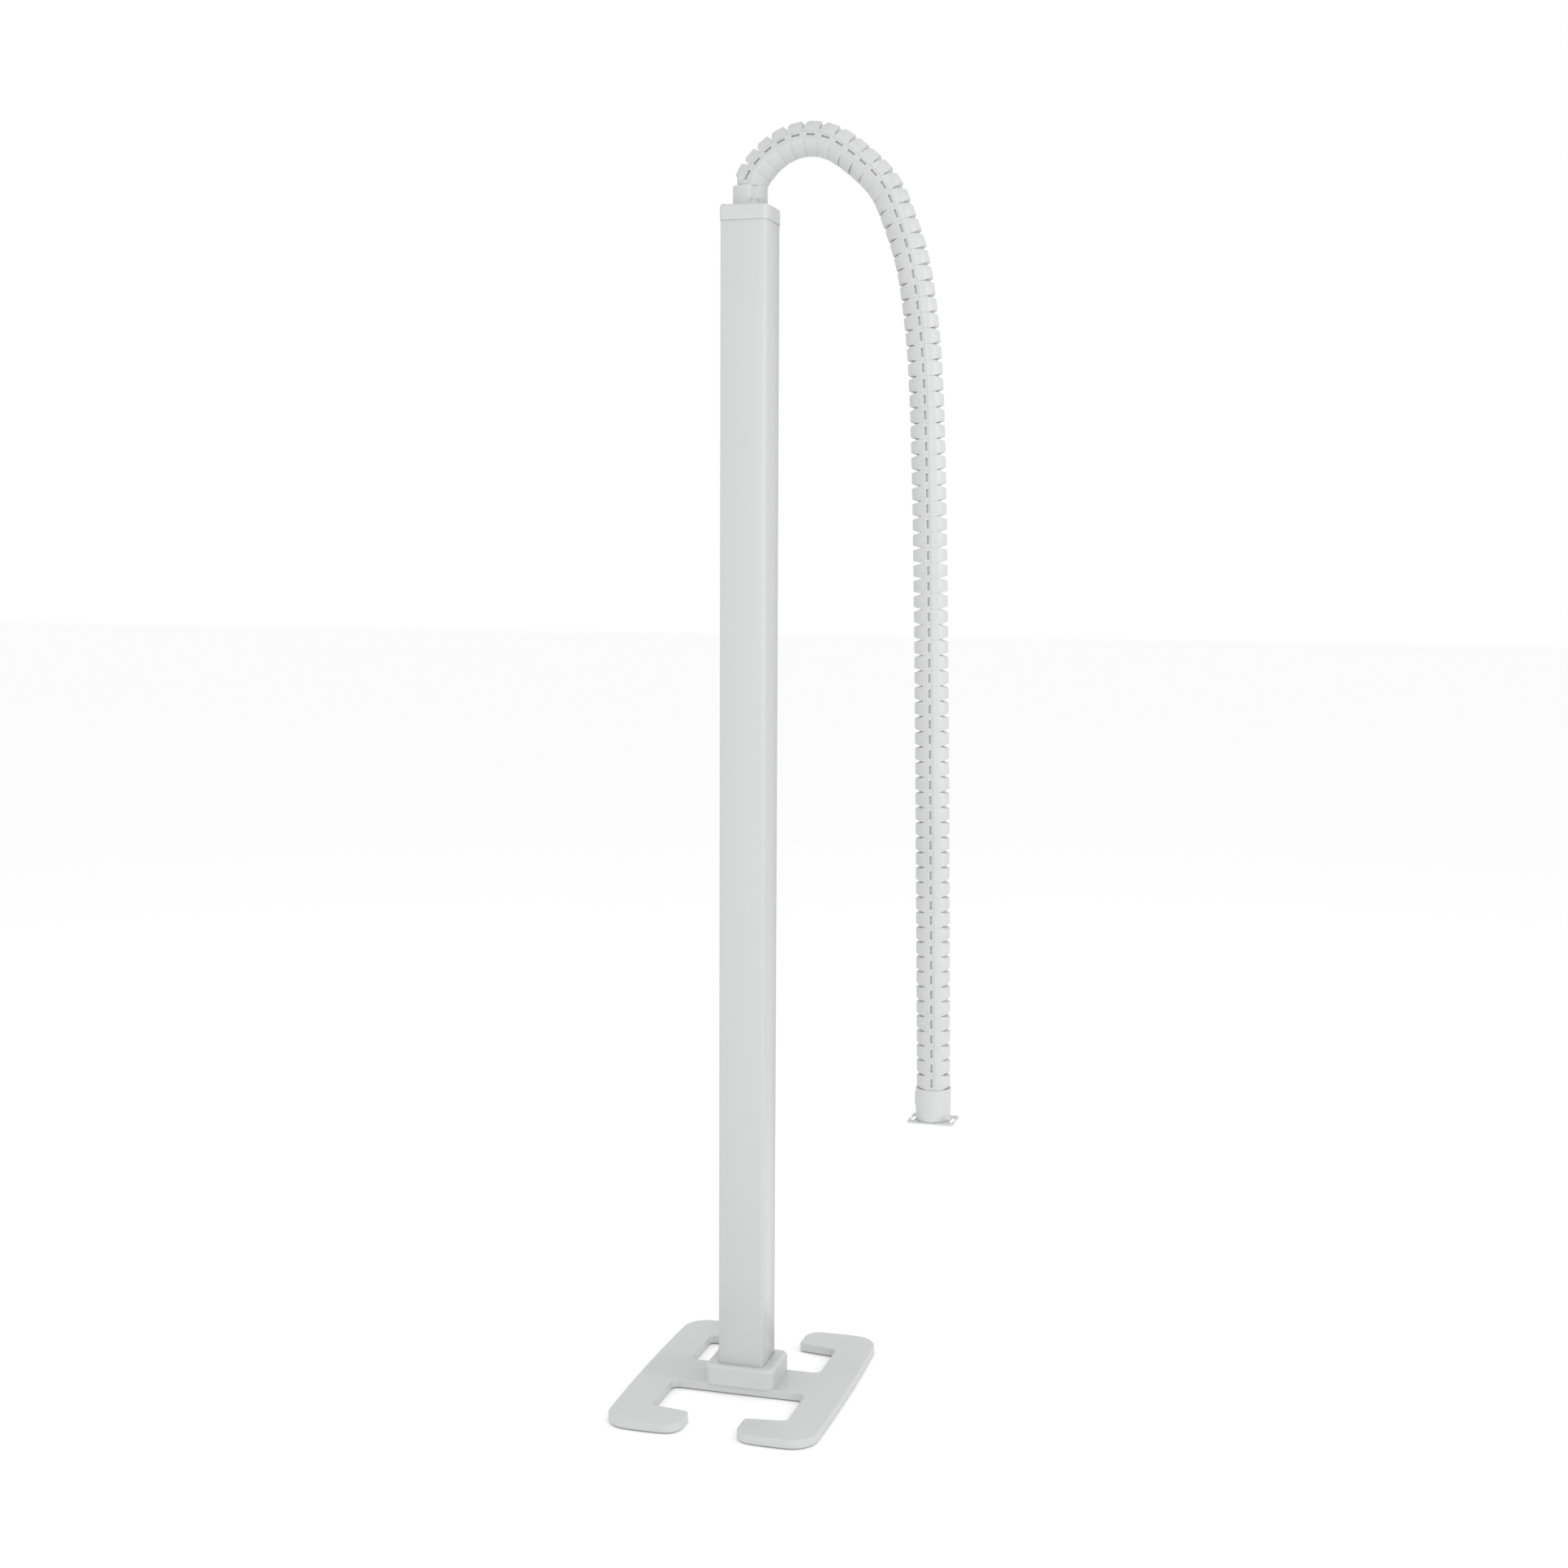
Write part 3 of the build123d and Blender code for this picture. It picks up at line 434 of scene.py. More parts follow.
class Bench:
    """The modelling steps that the pieces share, all done with Blender's own operators."""

    @staticmethod
    def clear() -> None:
        """Deselects everything."""
        if bpy.context.mode != "OBJECT":
            bpy.ops.object.mode_set(mode="OBJECT")
        bpy.ops.object.select_all(action="DESELECT")

    @classmethod
    def take(cls, piece: bpy.types.Object) -> bpy.types.Object:
        """Makes one object the only selected and the active one, and returns it."""
        cls.clear()
        piece.select_set(True)
        bpy.context.view_layer.objects.active = piece
        return piece

    @classmethod
    def block(cls, name: str, low: Sequence[float], high: Sequence[float]) -> bpy.types.Object:
        """Adds a block between two corners.

        Args:
            name: The object's name.
            low: Its lowest corner.
            high: Its highest corner.

        Returns:
            The block, with its place in its mesh.
        """
        cls.clear()
        centre = [(a + b) / 2 for a, b in zip(low, high)]
        size = [b - a for a, b in zip(low, high)]
        bpy.ops.mesh.primitive_cube_add(size=1.0, location=centre, scale=size)
        return cls.settle(name)

    @classmethod
    def rod(
        cls, name: str, centre: Sequence[float], radius: float, depth: float, sides: int, open_ends: bool = False
    ) -> bpy.types.Object:
        """Adds an upright cylinder.

        Args:
            name: The object's name.
            centre: Its middle.
            radius: Its radius.
            depth: Its height.
            sides: How many sides it has.
            open_ends: True leaves out the end faces.

        Returns:
            The cylinder, with its place in its mesh.
        """
        cls.clear()
        bpy.ops.mesh.primitive_cylinder_add(
            vertices=sides,
            radius=radius,
            depth=depth,
            location=centre,
            end_fill_type="NOTHING" if open_ends else "NGON",
        )
        return cls.settle(name)

    @classmethod
    def settle(cls, name: str) -> bpy.types.Object:
        """Names the active object and puts its place, turn and size into its mesh."""
        piece = bpy.context.object
        piece.name = name
        piece.data.name = name
        bpy.ops.object.transform_apply(location=True, rotation=True, scale=True)
        return piece

    @classmethod
    def pick(cls, piece: bpy.types.Object, kind: str, test: Callable) -> int:
        """Opens a piece for editing with some of its parts selected.

        Args:
            piece: The piece.
            kind: VERT, EDGE or FACE.
            test: Says for each part's centre and, for a face, its normal whether it is taken.

        Returns:
            How many were selected.
        """
        cls.take(piece)
        bpy.ops.object.mode_set(mode="EDIT")
        bpy.ops.mesh.select_mode(type=kind)
        bpy.ops.mesh.select_all(action="DESELECT")
        bpy.ops.object.mode_set(mode="OBJECT")
        mesh = piece.data
        count = 0
        if kind == "FACE":
            for face in mesh.polygons:
                face.select = bool(test(face.center, face.normal))
                count += face.select
        elif kind == "EDGE":
            for edge in mesh.edges:
                ends = [mesh.vertices[i].co for i in edge.vertices]
                edge.select = bool(test(ends[0], ends[1]))
                count += edge.select
        else:
            for vertex in mesh.vertices:
                vertex.select = bool(test(vertex.co, vertex.normal))
                count += vertex.select
        bpy.ops.object.mode_set(mode="EDIT")
        return count

    @classmethod
    def apply(cls, piece: bpy.types.Object, kind: str, **settings: object) -> None:
        """Adds a modifier to a piece and applies it.

        Args:
            piece: The piece.
            kind: The modifier's type.
            **settings: Its properties.
        """
        cls.take(piece)
        modifier = piece.modifiers.new(kind.lower(), kind)
        for key, value in settings.items():
            setattr(modifier, key, value)
        bpy.ops.object.modifier_apply(modifier=modifier.name)

    @classmethod
    def cut(cls, piece: bpy.types.Object, *tools: bpy.types.Object) -> None:
        """Takes the tools' shapes out of a piece, and deletes the tools."""
        for tool in tools:
            cls.apply(piece, "BOOLEAN", operation="DIFFERENCE", object=tool, solver="EXACT")
            bpy.data.objects.remove(tool)

    @classmethod
    def soften(cls, piece: bpy.types.Object, width: float, segments: int, angle: float = 35.0) -> None:
        """Rounds a piece's sharp edges.

        Args:
            piece: The piece.
            width: The round's width.
            segments: How many steps it has.
            angle: The least angle of an edge that is rounded, in degrees.
        """
        cls.tidy(piece)
        cls.apply(
            piece,
            "BEVEL",
            width=width,
            segments=segments,
            limit_method="ANGLE",
            angle_limit=math.radians(angle),
            use_clamp_overlap=True,
            miter_outer="MITER_ARC",
            harden_normals=False,
        )

    @classmethod
    def turn(cls, piece: bpy.types.Object, degrees: float) -> None:
        """Turns a piece about the Z axis, and puts the turn into its mesh."""
        cls.take(piece)
        bpy.ops.transform.rotate(value=-math.radians(degrees), orient_axis="Z", center_override=(0.0, 0.0, 0.0))
        bpy.ops.object.transform_apply(location=True, rotation=True, scale=True)

    @classmethod
    def tidy(cls, piece: bpy.types.Object, gap: float = 0.01 * MM) -> None:
        """Merges a piece's doubled points and drops faces with no area."""
        cls.take(piece)
        bpy.ops.object.mode_set(mode="EDIT")
        bpy.ops.mesh.select_all(action="SELECT")
        bpy.ops.mesh.remove_doubles(threshold=gap)
        bpy.ops.mesh.dissolve_degenerate(threshold=gap)
        bpy.ops.object.mode_set(mode="OBJECT")

    @classmethod
    def face_outwards(cls, piece: bpy.types.Object) -> None:
        """Turns a piece's faces outwards again, where laying it in place has mirrored it."""
        cls.take(piece)
        bpy.ops.object.mode_set(mode="EDIT")
        bpy.ops.mesh.select_all(action="SELECT")
        bpy.ops.mesh.normals_make_consistent(inside=False)
        bpy.ops.object.mode_set(mode="OBJECT")

    @classmethod
    def smooth(cls, piece: bpy.types.Object, angle: float = 32.0) -> None:
        """Shades a piece smooth, but for edges sharper than an angle in degrees."""
        cls.take(piece)
        bpy.ops.object.shade_smooth_by_angle(angle=math.radians(angle))

    @classmethod
    def join(cls, name: str, parts: Sequence[bpy.types.Object]) -> bpy.types.Object:
        """Joins objects into one and returns it."""
        cls.take(parts[0])
        for part in parts[1:]:
            part.select_set(True)
        bpy.ops.object.join()
        parts[0].name = name
        parts[0].data.name = name
        return parts[0]


def mount(piece: bpy.types.Object, body: Body, slot: Slot, *nodes: str) -> None:
    """Finishes a new piece and puts it in the model.

    Args:
        piece: The piece.
        body: The body that it moves with.
        slot: Its material slot.
        *nodes: The CAD nodes that it stands for.
    """
    dress(piece, slot)
    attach(piece, body.value)
    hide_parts(*nodes)
    LOG.info("%s: %d faces, %s, for %s", piece.name, len(piece.data.polygons), slot.value, ", ".join(nodes))


# ======================= hose =======================


@dataclass
class CableHose:
    """The hose: finger rings in a row, each joined to the next by a strip at the front and the back."""

    route: tuple = (
        (0.0, 1.784),
        (0.0, 1.795),
        (0.035, 1.833),
        (0.075, 1.849),
        (0.118, 1.845),
        (0.160, 1.816),
        (0.200, 1.778),
        (0.219, 1.733),
        (0.238, 1.680),
        (0.249, 1.622),
        (0.260, 1.527),
        (0.267, 1.369),
        (0.274, 1.089),
        (0.280, 0.761),
        (0.2845, 0.486),
    )
    radius: float = 24.4 * MM
    wall: float = 13.4 * MM
    end_wall: float = 5.2 * MM
    first_ring: float = 14.0 * MM
    last_ring: float = 11.0 * MM
    pitch: float = 21.8 * MM
    strip_half_width: float = 4.9 * MM
    mouth_half_width: float = 11.6 * MM
    gap_at_side: float = 3.6 * MM
    seam_gap: float = 0.03 * MM
    gap_turn: float = 11.7
    slit_turn: float = 4.7
    slit_width: float = 3.0 * MM
    slit_length: float = 11.6 * MM
    slit_depth: float = 4.5 * MM
    flat_half_width: float = 4.9 * MM
    flat_depth: float = 1.1 * MM
    edge_round: float = 0.16 * MM
    rim_round: float = 0.6 * MM
    rim_band: float = 0.4 * MM
    rim_from_middle: float = 2.0 * MM
    rim_from_end: float = 0.2 * MM
    finger_blend: float = 3.0 * MM
    closing: float = 2.6
    least_reach: float = 0.2
    long_end: float = 1.1
    sides: int = 44
    path: list = field(default_factory=list)

    def follow_route(self) -> None:
        """Reads the hose's centreline from a smooth curve through the route."""
        curve = bpy.data.curves.new("hose_route", "CURVE")
        curve.dimensions = "3D"
        curve.resolution_u = 40
        spline = curve.splines.new("NURBS")
        spline.points.add(len(self.route) - 1)
        for point, (x, z) in zip(spline.points, self.route):
            point.co = (x, 0.0, z, 1.0)
        spline.order_u = 3
        spline.use_endpoint_u = True
        holder = bpy.data.objects.new("hose_route", curve)
        bpy.context.collection.objects.link(holder)
        evaluated = holder.evaluated_get(bpy.context.evaluated_depsgraph_get())
        mesh = bpy.data.meshes.new_from_object(evaluated)
        self.path = [vertex.co.copy() for vertex in mesh.vertices]
        bpy.data.objects.remove(holder)
        bpy.data.meshes.remove(mesh)
        bpy.data.curves.remove(curve)

    def model_ring(self, wall: float) -> bpy.types.Object:
        """Models one ring, upright at the origin, with its slit towards -Y.

        Args:
            wall: How far it reaches in from its rim.

        Returns:
            The ring.
        """
        half = self.pitch / 2 - self.seam_gap
        ring = Bench.rod("hose_ring", (0, 0, 0), self.radius, 2 * half, self.sides, open_ends=True)
        Bench.apply(ring, "SOLIDIFY", thickness=wall, offset=-1.0, use_even_offset=True)
        reach = self.radius + 2 * MM
        for side in (-1, 1):
            for end in (-1, 1):
                Bench.cut(ring, self._wedge(side, end, half, reach))
        self._round_rims(ring, half)
        flat = self.radius - self.flat_depth
        width = self.flat_half_width
        cutters = [
            Bench.block("flat", (-width, -reach, -2 * half), (width, -flat, 2 * half)),
            Bench.block("flat", (-width, flat, -2 * half), (width, reach, 2 * half)),
            Bench.block(
                "slit",
                (-self.slit_width / 2, -reach, -self.slit_length / 2),
                (self.slit_width / 2, -self.radius + self.slit_depth, self.slit_length / 2),
            ),
        ]
        for cutter in cutters:
            Bench.turn(cutter, self.slit_turn)
            Bench.cut(ring, cutter)
        Bench.soften(ring, self.edge_round, 1, 40)
        return ring

    def _round_rims(self, ring: bpy.types.Object, half: float) -> None:
        """Rounds the rims of the fingers where they face the open gaps.

        Args:
            ring: The ring.
            half: Half its height.
        """

        def on_rim(co: Vector) -> bool:
            """Tells whether a point is on the outside, below the ring's ends."""
            outside = math.hypot(co.x, co.y) > self.radius - self.rim_band
            return outside and self.rim_from_middle < abs(co.z) < half - self.rim_from_end

        Bench.tidy(ring)
        Bench.pick(ring, "EDGE", lambda a, b: on_rim(a) and on_rim(b) and a.z * b.z > 0)
        bpy.ops.mesh.bevel(offset=self.rim_round, segments=2, affect="EDGES", clamp_overlap=True)
        bpy.ops.object.mode_set(mode="OBJECT")

    def _wedge(self, side: int, end: int, half: float, reach: float) -> bpy.types.Object:
        """Makes the cutter for one quarter of the gap between two rings.

        Args:
            side: -1 for the -X fingers, 1 for the +X ones.
            end: -1 for the ring's lower end, 1 for its upper one.
            half: Half the ring's height.
            reach: How far out the cutter goes.

        Returns:
            The cutter.
        """
        slope = self.gap_at_side / (self.radius - self.mouth_half_width)
        xs = sorted((side * self.mouth_half_width, side * reach))
        zs = sorted((end * half, end * (half + 1 * MM)))
        wedge = Bench.block("wedge", (xs[0], -reach, zs[0]), (xs[1], reach, zs[1]))
        Bench.pick(
            wedge,
            "VERT",
            lambda co, _: abs(co.x - side * reach) < 0.1 * MM and abs(co.z) < half + 0.5 * MM,
        )
        bpy.ops.transform.translate(value=(0, 0, -end * slope * (reach - self.mouth_half_width)))
        bpy.ops.object.mode_set(mode="OBJECT")
        Bench.turn(wedge, self.gap_turn)
        return wedge

    def bend_ring(
        self, co: np.ndarray, centre: float, line: "Centreline", low: float, high: float
    ) -> np.ndarray:
        """Lays one ring's points along the centreline, which mirrors them.

        Fingers on the outside of a bend keep their width. Those on the inside close up to the next
        ring, and the first ring's inner ones reach down to the cuff.

        Args:
            co: The points of the upright ring.
            centre: The ring's distance along the centreline.
            line: The centreline.
            low: How far the ring's lower end is stretched.
            high: How far its upper end is stretched.

        Returns:
            The points in place.
        """
        across, along = co[:, 0], co[:, 2]
        bend = line.bend(centre)
        turn = math.radians(self.gap_turn)
        spread = np.abs(across * math.cos(turn) + co[:, 1] * math.sin(turn))
        fingers = np.clip((spread - self.strip_half_width) / self.finger_blend, 0, 1)
        reach = np.maximum(1 + bend * across, self.least_reach)
        slope = self.gap_at_side / (self.radius - self.mouth_half_width)
        gap = slope * np.maximum(spread - self.mouth_half_width, 0.0) + self.seam_gap
        half = self.pitch / 2
        closed = half / (half - gap)
        stiff = np.minimum(np.where(reach < 1, reach**-self.closing, 1 / reach), closed)
        end_stretch = np.where(along < 0, low, high)
        first = (along < 0) & (low > self.long_end) & (across < 0)
        stiff = np.where(first, closed * low, stiff)
        stretch = (1 - fingers) * end_stretch + fingers * stiff
        at = centre + along * stretch
        return line.place(at, across, co[:, 1])

    def build(self) -> bpy.types.Object:
        """Builds the hose.

        Returns:
            The finished hose.
        """
        self.follow_route()
        line = Centreline(self.path)
        ring = self.model_ring(self.wall)
        end_ring = self.model_ring(self.end_wall)
        count = round((line.length - self.first_ring - self.last_ring) / self.pitch) + 1
        step = (line.length - self.first_ring - self.last_ring) / (count - 1)
        half = self.pitch / 2
        rings = []
        for number in range(count):
            model = end_ring if number in (0, count - 1) else ring
            mesh = model.data.copy()
            shape = np.empty(len(mesh.vertices) * 3)
            mesh.vertices.foreach_get("co", shape)
            shape = shape.reshape(-1, 3)
            low = self.first_ring / half if number == 0 else step / self.pitch
            high = self.last_ring / half if number == count - 1 else step / self.pitch
            placed = self.bend_ring(shape, self.first_ring + number * step, line, low, high)
            mesh.vertices.foreach_set("co", placed.ravel())
            mesh.update()
            copy = bpy.data.objects.new(f"hose_ring_{number}", mesh)
            bpy.context.collection.objects.link(copy)
            rings.append(copy)
        bpy.data.objects.remove(ring)
        bpy.data.objects.remove(end_ring)
        hose = Bench.join("ringed_hose", rings)
        Bench.face_outwards(hose)
        Bench.smooth(hose, 40)
        mount(hose, Body.HOSE, Slot.HOSE, "cable_hose")
        LOG.info("ringed_hose: %d rings, %.0f mm long", count, line.length / MM)
        return hose


class Centreline:
    """A flat curve in the XZ plane that pieces are laid along."""

    def __init__(self, points: Sequence[Vector]) -> None:
        """Measures the curve.

        Args:
            points: Its points, from start to end.
        """
        self.points = np.array([(p.x, p.z) for p in points])
        runs = np.linalg.norm(np.diff(self.points, axis=0), axis=1)
        self.along = np.concatenate([[0.0], np.cumsum(runs)])
        self.length = float(self.along[-1])

    def at(self, where: np.ndarray) -> np.ndarray:
        """Returns the curve's x and z at distances along it, running straight on past its ends."""
        inside = np.clip(where, 0.0, self.length)
        flat = np.stack([np.interp(inside, self.along, self.points[:, i]) for i in (0, 1)], axis=-1)
        return flat + (where - inside)[..., None] * self.heading(inside)

    def heading(self, where: np.ndarray) -> np.ndarray:
        """Returns the curve's direction at distances along it."""
        step = 2 * MM
        ends = [np.clip(where + shift, 0.0, self.length) for shift in (-step, step)]
        spots = [np.stack([np.interp(e, self.along, self.points[:, i]) for i in (0, 1)], axis=-1) for e in ends]
        run = spots[1] - spots[0]
        return run / np.linalg.norm(run, axis=-1, keepdims=True)

    def bend(self, where: float) -> float:
        """Returns how fast the curve turns towards +X at a distance, in radians per metre."""
        step = 8 * MM
        spots = np.clip(np.array([where - step, where + step]), 2 * MM, self.length - 2 * MM)
        headings = self.heading(spots)
        angles = np.arctan2(headings[:, 0], headings[:, 1])
        return float((angles[1] - angles[0]) / (spots[1] - spots[0]))

    def place(self, along: np.ndarray, across: np.ndarray, depth: np.ndarray) -> np.ndarray:
        """Returns the points that lie at distances along, across and in front of the curve.

        Args:
            along: Distances along the curve.
            across: Distances from it in its plane, positive on the outside of a turn to +X.
            depth: The points' Y.

        Returns:
            The points.
        """
        spot = self.at(along)
        heading = self.heading(np.clip(along, 0.0, self.length))
        side = np.stack([-heading[:, 1], heading[:, 0]], axis=-1)
        flat = spot + across[:, None] * side
        return np.stack([flat[:, 0], depth, flat[:, 1]], axis=-1)


# ======================= pole =======================


@dataclass
class Pole:
    """The square pole, one seamless profile in place of the CAD model's wall nodes."""

    corner: float = 5.0 * MM
    wall: float = 2.0 * MM
    outlet_width: float = 36.0 * MM
    outlet_height: float = 24.0 * MM
    walls: tuple = ()

    def build(self) -> bpy.types.Object:
        """Builds the pole.

        Returns:
            The finished pole.
        """
        low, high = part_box("pole_front")[0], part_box("pole_back")[1]
        pole = Bench.block("pole", low, high)
        self._round_upright(pole, self.corner)
        inner_low = (low[0] + self.wall, low[1] + self.wall, low[2] - 1 * MM)
        inner_high = (high[0] - self.wall, high[1] - self.wall, high[2] + 1 * MM)
        inside = Bench.block("pole_inside", inner_low, inner_high)
        self._round_upright(inside, self.corner - self.wall)
        Bench.cut(pole, inside)
        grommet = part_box("outlet_grommet")
        centre_z = (grommet[0][2] + grommet[1][2]) / 2
        outlet = Bench.block(
            "outlet",
            (-self.outlet_width / 2, high[1] - 8 * MM, centre_z - self.outlet_height / 2),
            (self.outlet_width / 2, high[1] + 1 * MM, centre_z + self.outlet_height / 2),
        )
        Bench.cut(pole, outlet)
        Bench.soften(pole, 0.25 * MM, 2, 60)
        Bench.smooth(pole, 30)
        mount(pole, Body.STAND, Slot.SMOOTH_COAT, *self.walls)
        return pole

    @staticmethod
    def _round_upright(block: bpy.types.Object, radius: float) -> None:
        """Rounds a block's four upright edges.

        Args:
            block: The block.
            radius: The corners' radius.
        """
        Bench.pick(block, "EDGE", lambda a, b: abs(a.z - b.z) > 10 * MM)
        bpy.ops.mesh.bevel(offset=radius, segments=10, affect="EDGES")
        bpy.ops.object.mode_set(mode="OBJECT")


# ======================= cuffs =======================


@dataclass
class Cuff:
    """A moulded cuff: a thin shell with a soft valley down it and an arched mouth at its foot."""

    name: str
    node: str
    centre_x: float
    radius: float
    bottom: float
    top: float
    turn: float
    valley_depth: float
    neck_radius: float
    neck_bottom: float
    neck_top: float
    shell: float = 1.8 * MM
    arch_depth: float = 1.5 * MM
    arch_reach: float = 9.0 * MM
    arch_spread: float = 21.0
    valley_reach: float = 9.0 * MM
    bore: float = 19.2 * MM
    sides: int = 120
    rows: int = 27
    edge_round: float = 0.9 * MM
    roof_step: float = 0.93
    swell: float = 0.0
    swell_turn: float = -82.0
    swell_span: tuple = (2.0 * MM, 12.0 * MM)
    swell_reach: float = 14.0 * MM
    neck_wall: float = 2.3 * MM
    neck_round: float = 0.4 * MM
    neck_sides: int = 72

    def facing(self, turn: float) -> Vector:
        """Returns the level direction at an angle in degrees from the front towards +X."""
        return Vector((math.sin(math.radians(turn)), -math.cos(math.radians(turn)), 0.0))

    def build(self, body: Body) -> bpy.types.Object:
        """Builds the cuff.

        Args:
            body: The body that it moves with.

        Returns:
            The finished cuff.
        """
        middle = (self.bottom + self.top) / 2
        cuff = Bench.rod(
            self.name, (self.centre_x, 0, middle), self.radius, self.top - self.bottom, self.sides, open_ends=True
        )
        Bench.pick(cuff, "EDGE", lambda a, b: abs(a.z - b.z) > 1 * MM)
        bpy.ops.mesh.subdivide(number_cuts=self.rows)
        bpy.ops.object.mode_set(mode="OBJECT")
        for turn in (self.turn - self.arch_spread, self.turn, self.turn + self.arch_spread):
            self._push(cuff, turn, (self.bottom, self.bottom), -self.arch_depth, self.arch_reach, "SPHERE")
        self._push(cuff, self.turn, (self.bottom, self.top), -self.valley_depth, self.valley_reach, "SMOOTH")
        if self.swell:
            span = (middle + self.swell_span[0], middle + self.swell_span[1])
            self._push(cuff, self.swell_turn, span, self.swell, self.swell_reach, "SMOOTH")
        self._roof(cuff)
        Bench.apply(cuff, "SOLIDIFY", thickness=self.shell, offset=-1.0, use_even_offset=False)
        Bench.soften(cuff, self.edge_round, 3, 50)
        neck = Bench.rod(
            "neck",
            (self.centre_x, 0, (self.neck_bottom + self.neck_top) / 2),
            self.neck_radius,
            self.neck_top - self.neck_bottom,
            self.neck_sides,
            open_ends=True,
        )
        Bench.apply(neck, "SOLIDIFY", thickness=self.neck_wall, offset=-1.0, use_even_offset=True)
        Bench.soften(neck, self.neck_round, 2, 50)
        cuff = Bench.join(self.name, [cuff, neck])
        Bench.smooth(cuff, 40)
        mount(cuff, body, Slot.PLASTIC, self.node)
        return cuff

    def _push(
        self, cuff: bpy.types.Object, turn: float, span: tuple, depth: float, reach: float, falloff: str
    ) -> None:
        """Pushes an upright line of the wall in or out, drawing the wall beside it along.

        Args:
            cuff: The cuff.
            turn: Where the line stands, in degrees from the front towards +X.
            span: The line's lowest and highest Z.
            depth: How far it goes, outwards where positive.
            reach: How far to each side the wall follows.
            falloff: How it follows.
        """
        facing = self.facing(turn)
        step = LINE_SHARE * FULL_TURN / self.sides

        def on_line(co: Vector, _: Vector) -> bool:
            """Tells whether a point is on the line."""
            level = Vector((co.x - self.centre_x, co.y, 0.0))
            return level.angle(facing) < step and span[0] - 0.1 * MM <= co.z <= span[1] + 0.1 * MM

        Bench.pick(cuff, "VERT", on_line)
        bpy.ops.transform.translate(
            value=facing * depth,
            use_proportional_edit=True,
            proportional_edit_falloff=falloff,
            proportional_size=reach,
        )
        bpy.ops.object.mode_set(mode="OBJECT")

    def _roof(self, cuff: bpy.types.Object) -> None:
        """Turns the shell's upper rim in to the bore, in two steps.

        Args:
            cuff: The cuff.
        """
        reached = 1.0
        for share in (self.roof_step, self.bore / self.radius):
            limit = reached * self.radius + 0.2 * MM

            def on_rim(a: Vector, b: Vector, limit: float = limit) -> bool:
                """Tells whether an edge lies on the innermost loop of the roof made so far."""
                at_top = min(a.z, b.z) > self.top - 0.1 * MM
                return at_top and all(math.hypot(co.x - self.centre_x, co.y) < limit for co in (a, b))

            Bench.pick(cuff, "EDGE", on_rim)
            bpy.ops.mesh.extrude_edges_move()
            factor = share / reached
            bpy.ops.transform.resize(
                value=(factor, factor, 1.0), center_override=(self.centre_x, 0.0, self.top)
            )
            bpy.ops.object.mode_set(mode="OBJECT")
            reached = share


def build_cuffs() -> list:
    """Builds the swivelling cuff on the cap and the cuff at the hose's lower end.

    Returns:
        The two cuffs.
    """
    swivel_low, swivel_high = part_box("swivel_cuff")
    cap_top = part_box("top_cap")[1][2]
    swivel = Cuff(
        name="swivel_cuff_shell",
        node="swivel_cuff",
        centre_x=0.0,
        radius=(swivel_high[0] - swivel_low[0]) / 2,
        bottom=cap_top + 0.4 * MM,
        top=swivel_high[2],
        turn=34.0,
        valley_depth=3.4 * MM,
        neck_radius=21.4 * MM,
        neck_bottom=swivel_low[2],
        neck_top=cap_top + 14 * MM,
    )
    end_low, end_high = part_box("end_cuff")
    end = Cuff(
        name="end_cuff_shell",
        node="end_cuff",
        centre_x=(end_low[0] + end_high[0]) / 2,
        radius=(end_high[0] - end_low[0]) / 2,
        bottom=end_low[2],
        top=end_high[2],
        turn=53.0,
        valley_depth=2.4 * MM,
        shell=1.3 * MM,
        neck_radius=22.6 * MM,
        neck_bottom=end_low[2] + 12 * MM,
        neck_top=end_low[2] + 30 * MM,
        arch_depth=0.6 * MM,
        arch_reach=8.0 * MM,
        swell=1.8 * MM,
    )
    return [swivel.build(Body.HOSE), end.build(Body.HOSE)]


# ======================= plain CAD nodes =======================

NODE_SLOTS: dict = {row["node"]: Slot(row["material_slot"]) for row in frame["record"]["subparts"]}


def dress_nodes(skipped: Iterable[str]) -> None:
    """Gives every CAD node that still shows its finish.

    Args:
        skipped: The nodes that finished pieces stand for.
    """
    for name, node in frame["nodes"].items():
        if name in skipped:
            continue
        dress(node, NODE_SLOTS[name])
        LOG.info("%s: CAD node in %s", name, NODE_SLOTS[name].value)


# ======================= studio =======================


@dataclass(frozen=True)
class Viewpoint:
    """Where the camera stands and how it looks."""

    place: tuple = (0.887, -2.936, 1.256)
    azimuth: float = 15.83
    pitch: float = 6.2
    roll: float = 0.28
    lens: float = 47.87
    sensor: float = 36.0

    def set_up(self) -> None:
        """Adds the camera and makes it the scene's."""
        data = bpy.data.cameras.new("camera")
        data.lens = self.lens
        data.sensor_width = self.sensor
        data.clip_end = 50.0
        camera = bpy.data.objects.new("camera", data)
        bpy.context.collection.objects.link(camera)
        turn = (
            Matrix.Rotation(math.radians(self.azimuth), 4, "Z")
            @ Matrix.Rotation(math.radians(90.0 - self.pitch), 4, "X")
            @ Matrix.Rotation(math.radians(self.roll), 4, "Z")
        )
        camera.matrix_world = Matrix.Translation(self.place) @ turn
        bpy.context.scene.camera = camera


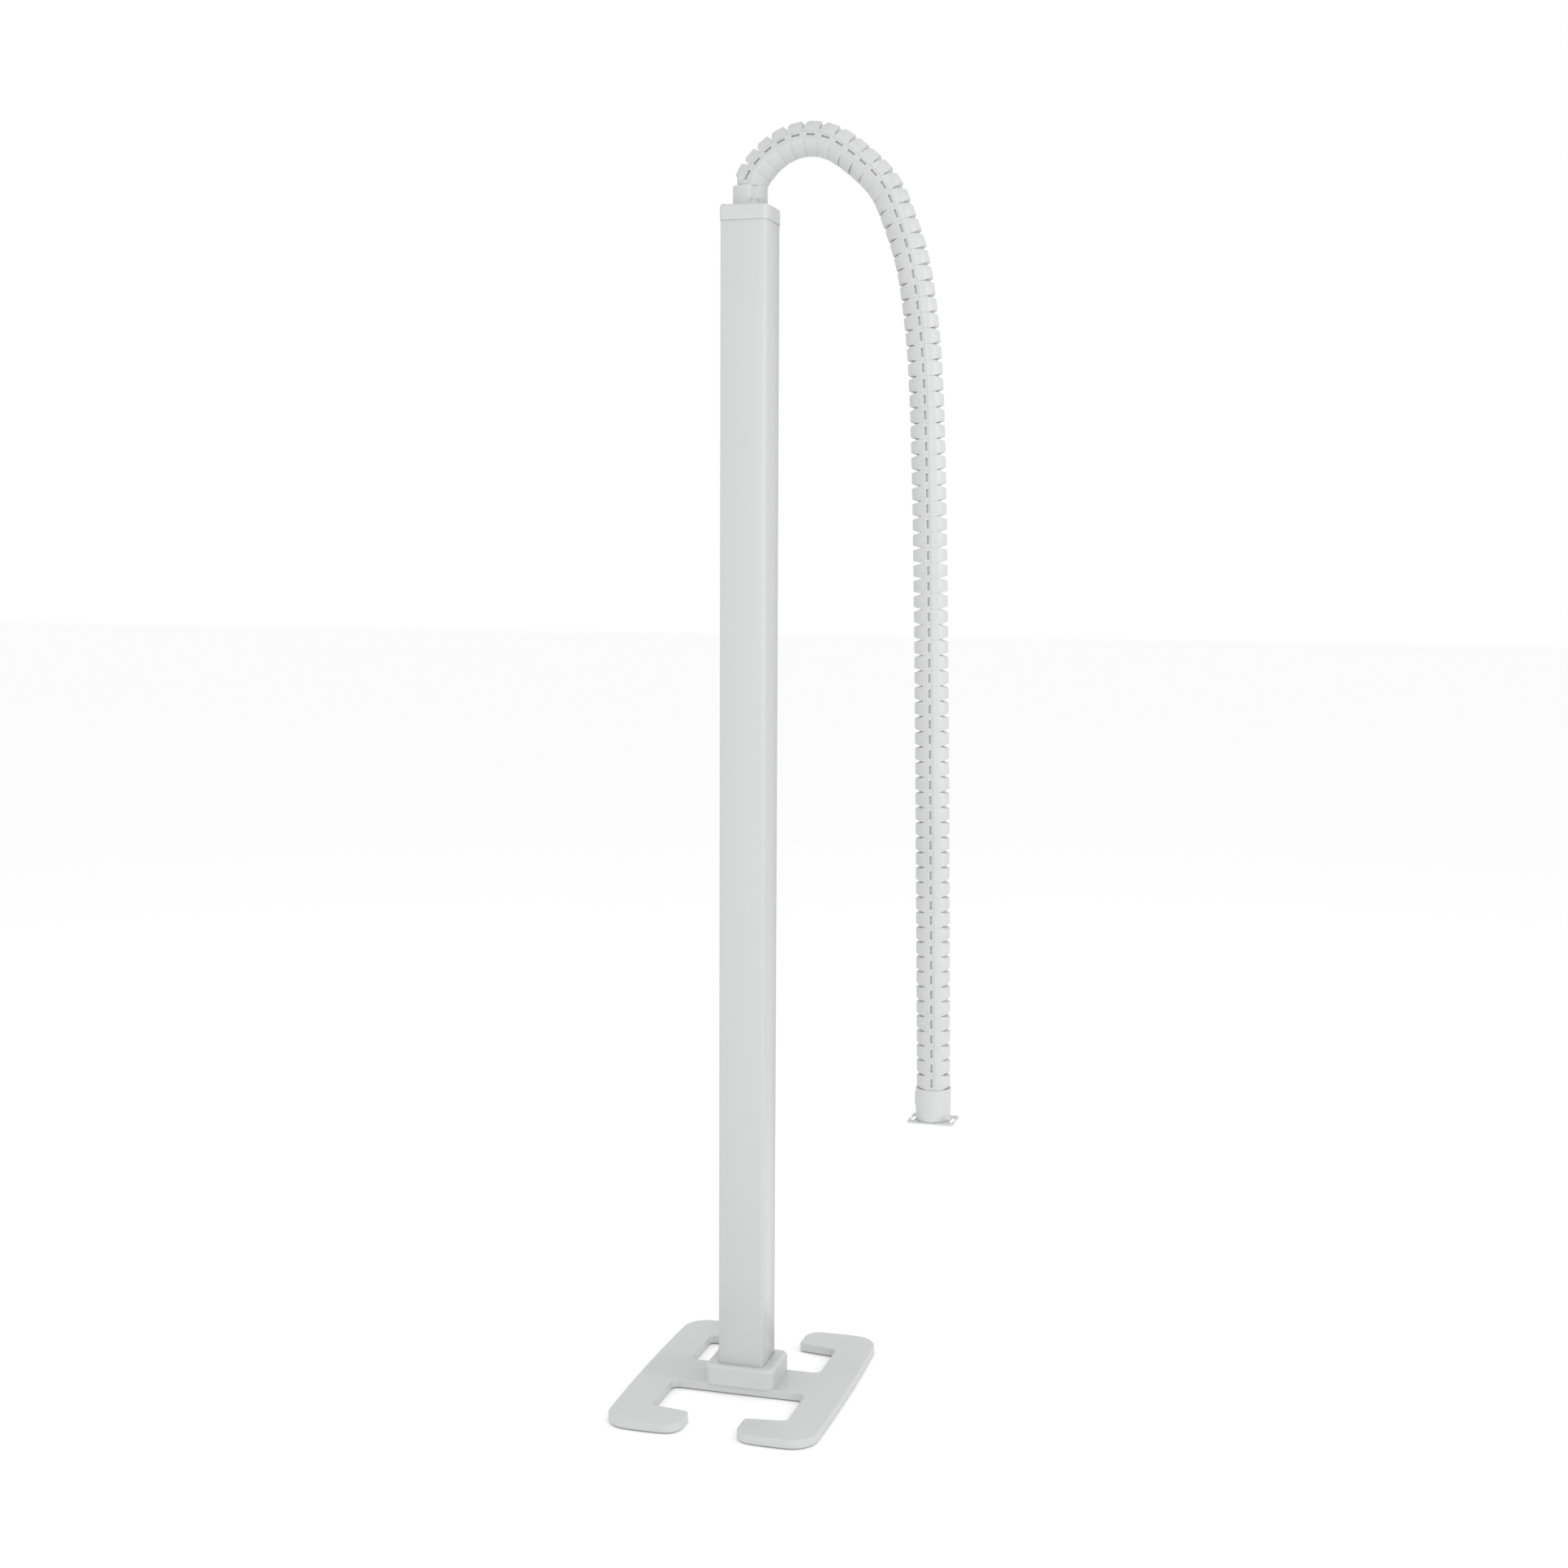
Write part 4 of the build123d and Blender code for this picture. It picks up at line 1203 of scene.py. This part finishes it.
@dataclass(frozen=True)
class SoftBox:
    """A large soft lamp."""

    name: str
    place: tuple
    aim: tuple
    size: tuple
    power: float

    def set_up(self) -> None:
        """Adds the lamp."""
        data = bpy.data.lights.new(self.name, "AREA")
        data.shape = "RECTANGLE"
        data.size, data.size_y = self.size
        data.energy = self.power
        lamp = bpy.data.objects.new(self.name, data)
        bpy.context.collection.objects.link(lamp)
        lamp.location = self.place
        lamp.rotation_euler = (Vector(self.aim) - Vector(self.place)).to_track_quat("-Z", "Y").to_euler()


@dataclass(frozen=True)
class Studio:
    """The pale floor, the light all round and the lamps."""

    floor_size: float = 60.0
    surround: float = 1.0
    lamps: tuple = (
        SoftBox("front_lamp", (1.2, -3.6, 2.2), (0.1, 0.0, 0.9), (0.9, 2.8), 44.0),
        SoftBox("left_lamp", (-3.2, -1.6, 2.2), (0.1, 0.0, 0.9), (1.4, 2.8), 8.0),
        SoftBox("rim_lamp", (3.4, -0.2, 1.8), (0.2, 0.0, 0.9), (0.8, 2.8), 30.0),
    )

    def set_up(self) -> None:
        """Builds the studio."""
        scene = bpy.context.scene
        scene.view_settings.view_transform = "Standard"
        world = bpy.data.worlds.new("studio")
        scene.world = world
        world.use_nodes = True
        background = world.node_tree.nodes["Background"]
        background.inputs["Color"].default_value = (1.0, 1.0, 1.0, 1.0)
        background.inputs["Strength"].default_value = self.surround
        for lamp in self.lamps:
            lamp.set_up()
        Bench.clear()
        bpy.ops.mesh.primitive_plane_add(size=self.floor_size, location=(0, 0, -0.0005))
        floor = Bench.settle("floor")
        sheet = NodeSheet("floor_paper")
        fibre = sheet.noise(2 * MM, 2.0)
        floor.data.materials.append(
            sheet.finish(
                {"Roughness": 0.8},
                {"Base Color": sheet.tint(fibre, (0.975, 0.975, 0.975), (0.96, 0.96, 0.96))},
            )
        )


def main() -> None:
    """Builds the studio and every piece in order."""
    logging.basicConfig(level=logging.INFO, format="%(message)s")
    Viewpoint().set_up()
    hose = CableHose()
    ringed = hose.build()
    _, end_cuff = build_cuffs()
    walls = tuple(
        name
        for name in frame["nodes"]
        if name.startswith("pole_") and name.split("_")[1] in WALL_SIDES
    )
    Pole(walls=walls).build()
    replaced = ["cable_hose", "swivel_cuff", "end_cuff", *walls]
    dress_nodes(replaced)
    nodes = frame["nodes"]
    on_hose = ["upper_coupler", "lower_coupler", "mounting_flange", "flange_circlip"]
    [end_cuff] + [nodes[name] for name in on_hose]
    Studio().set_up()


if __name__ == "__main__":
    main()
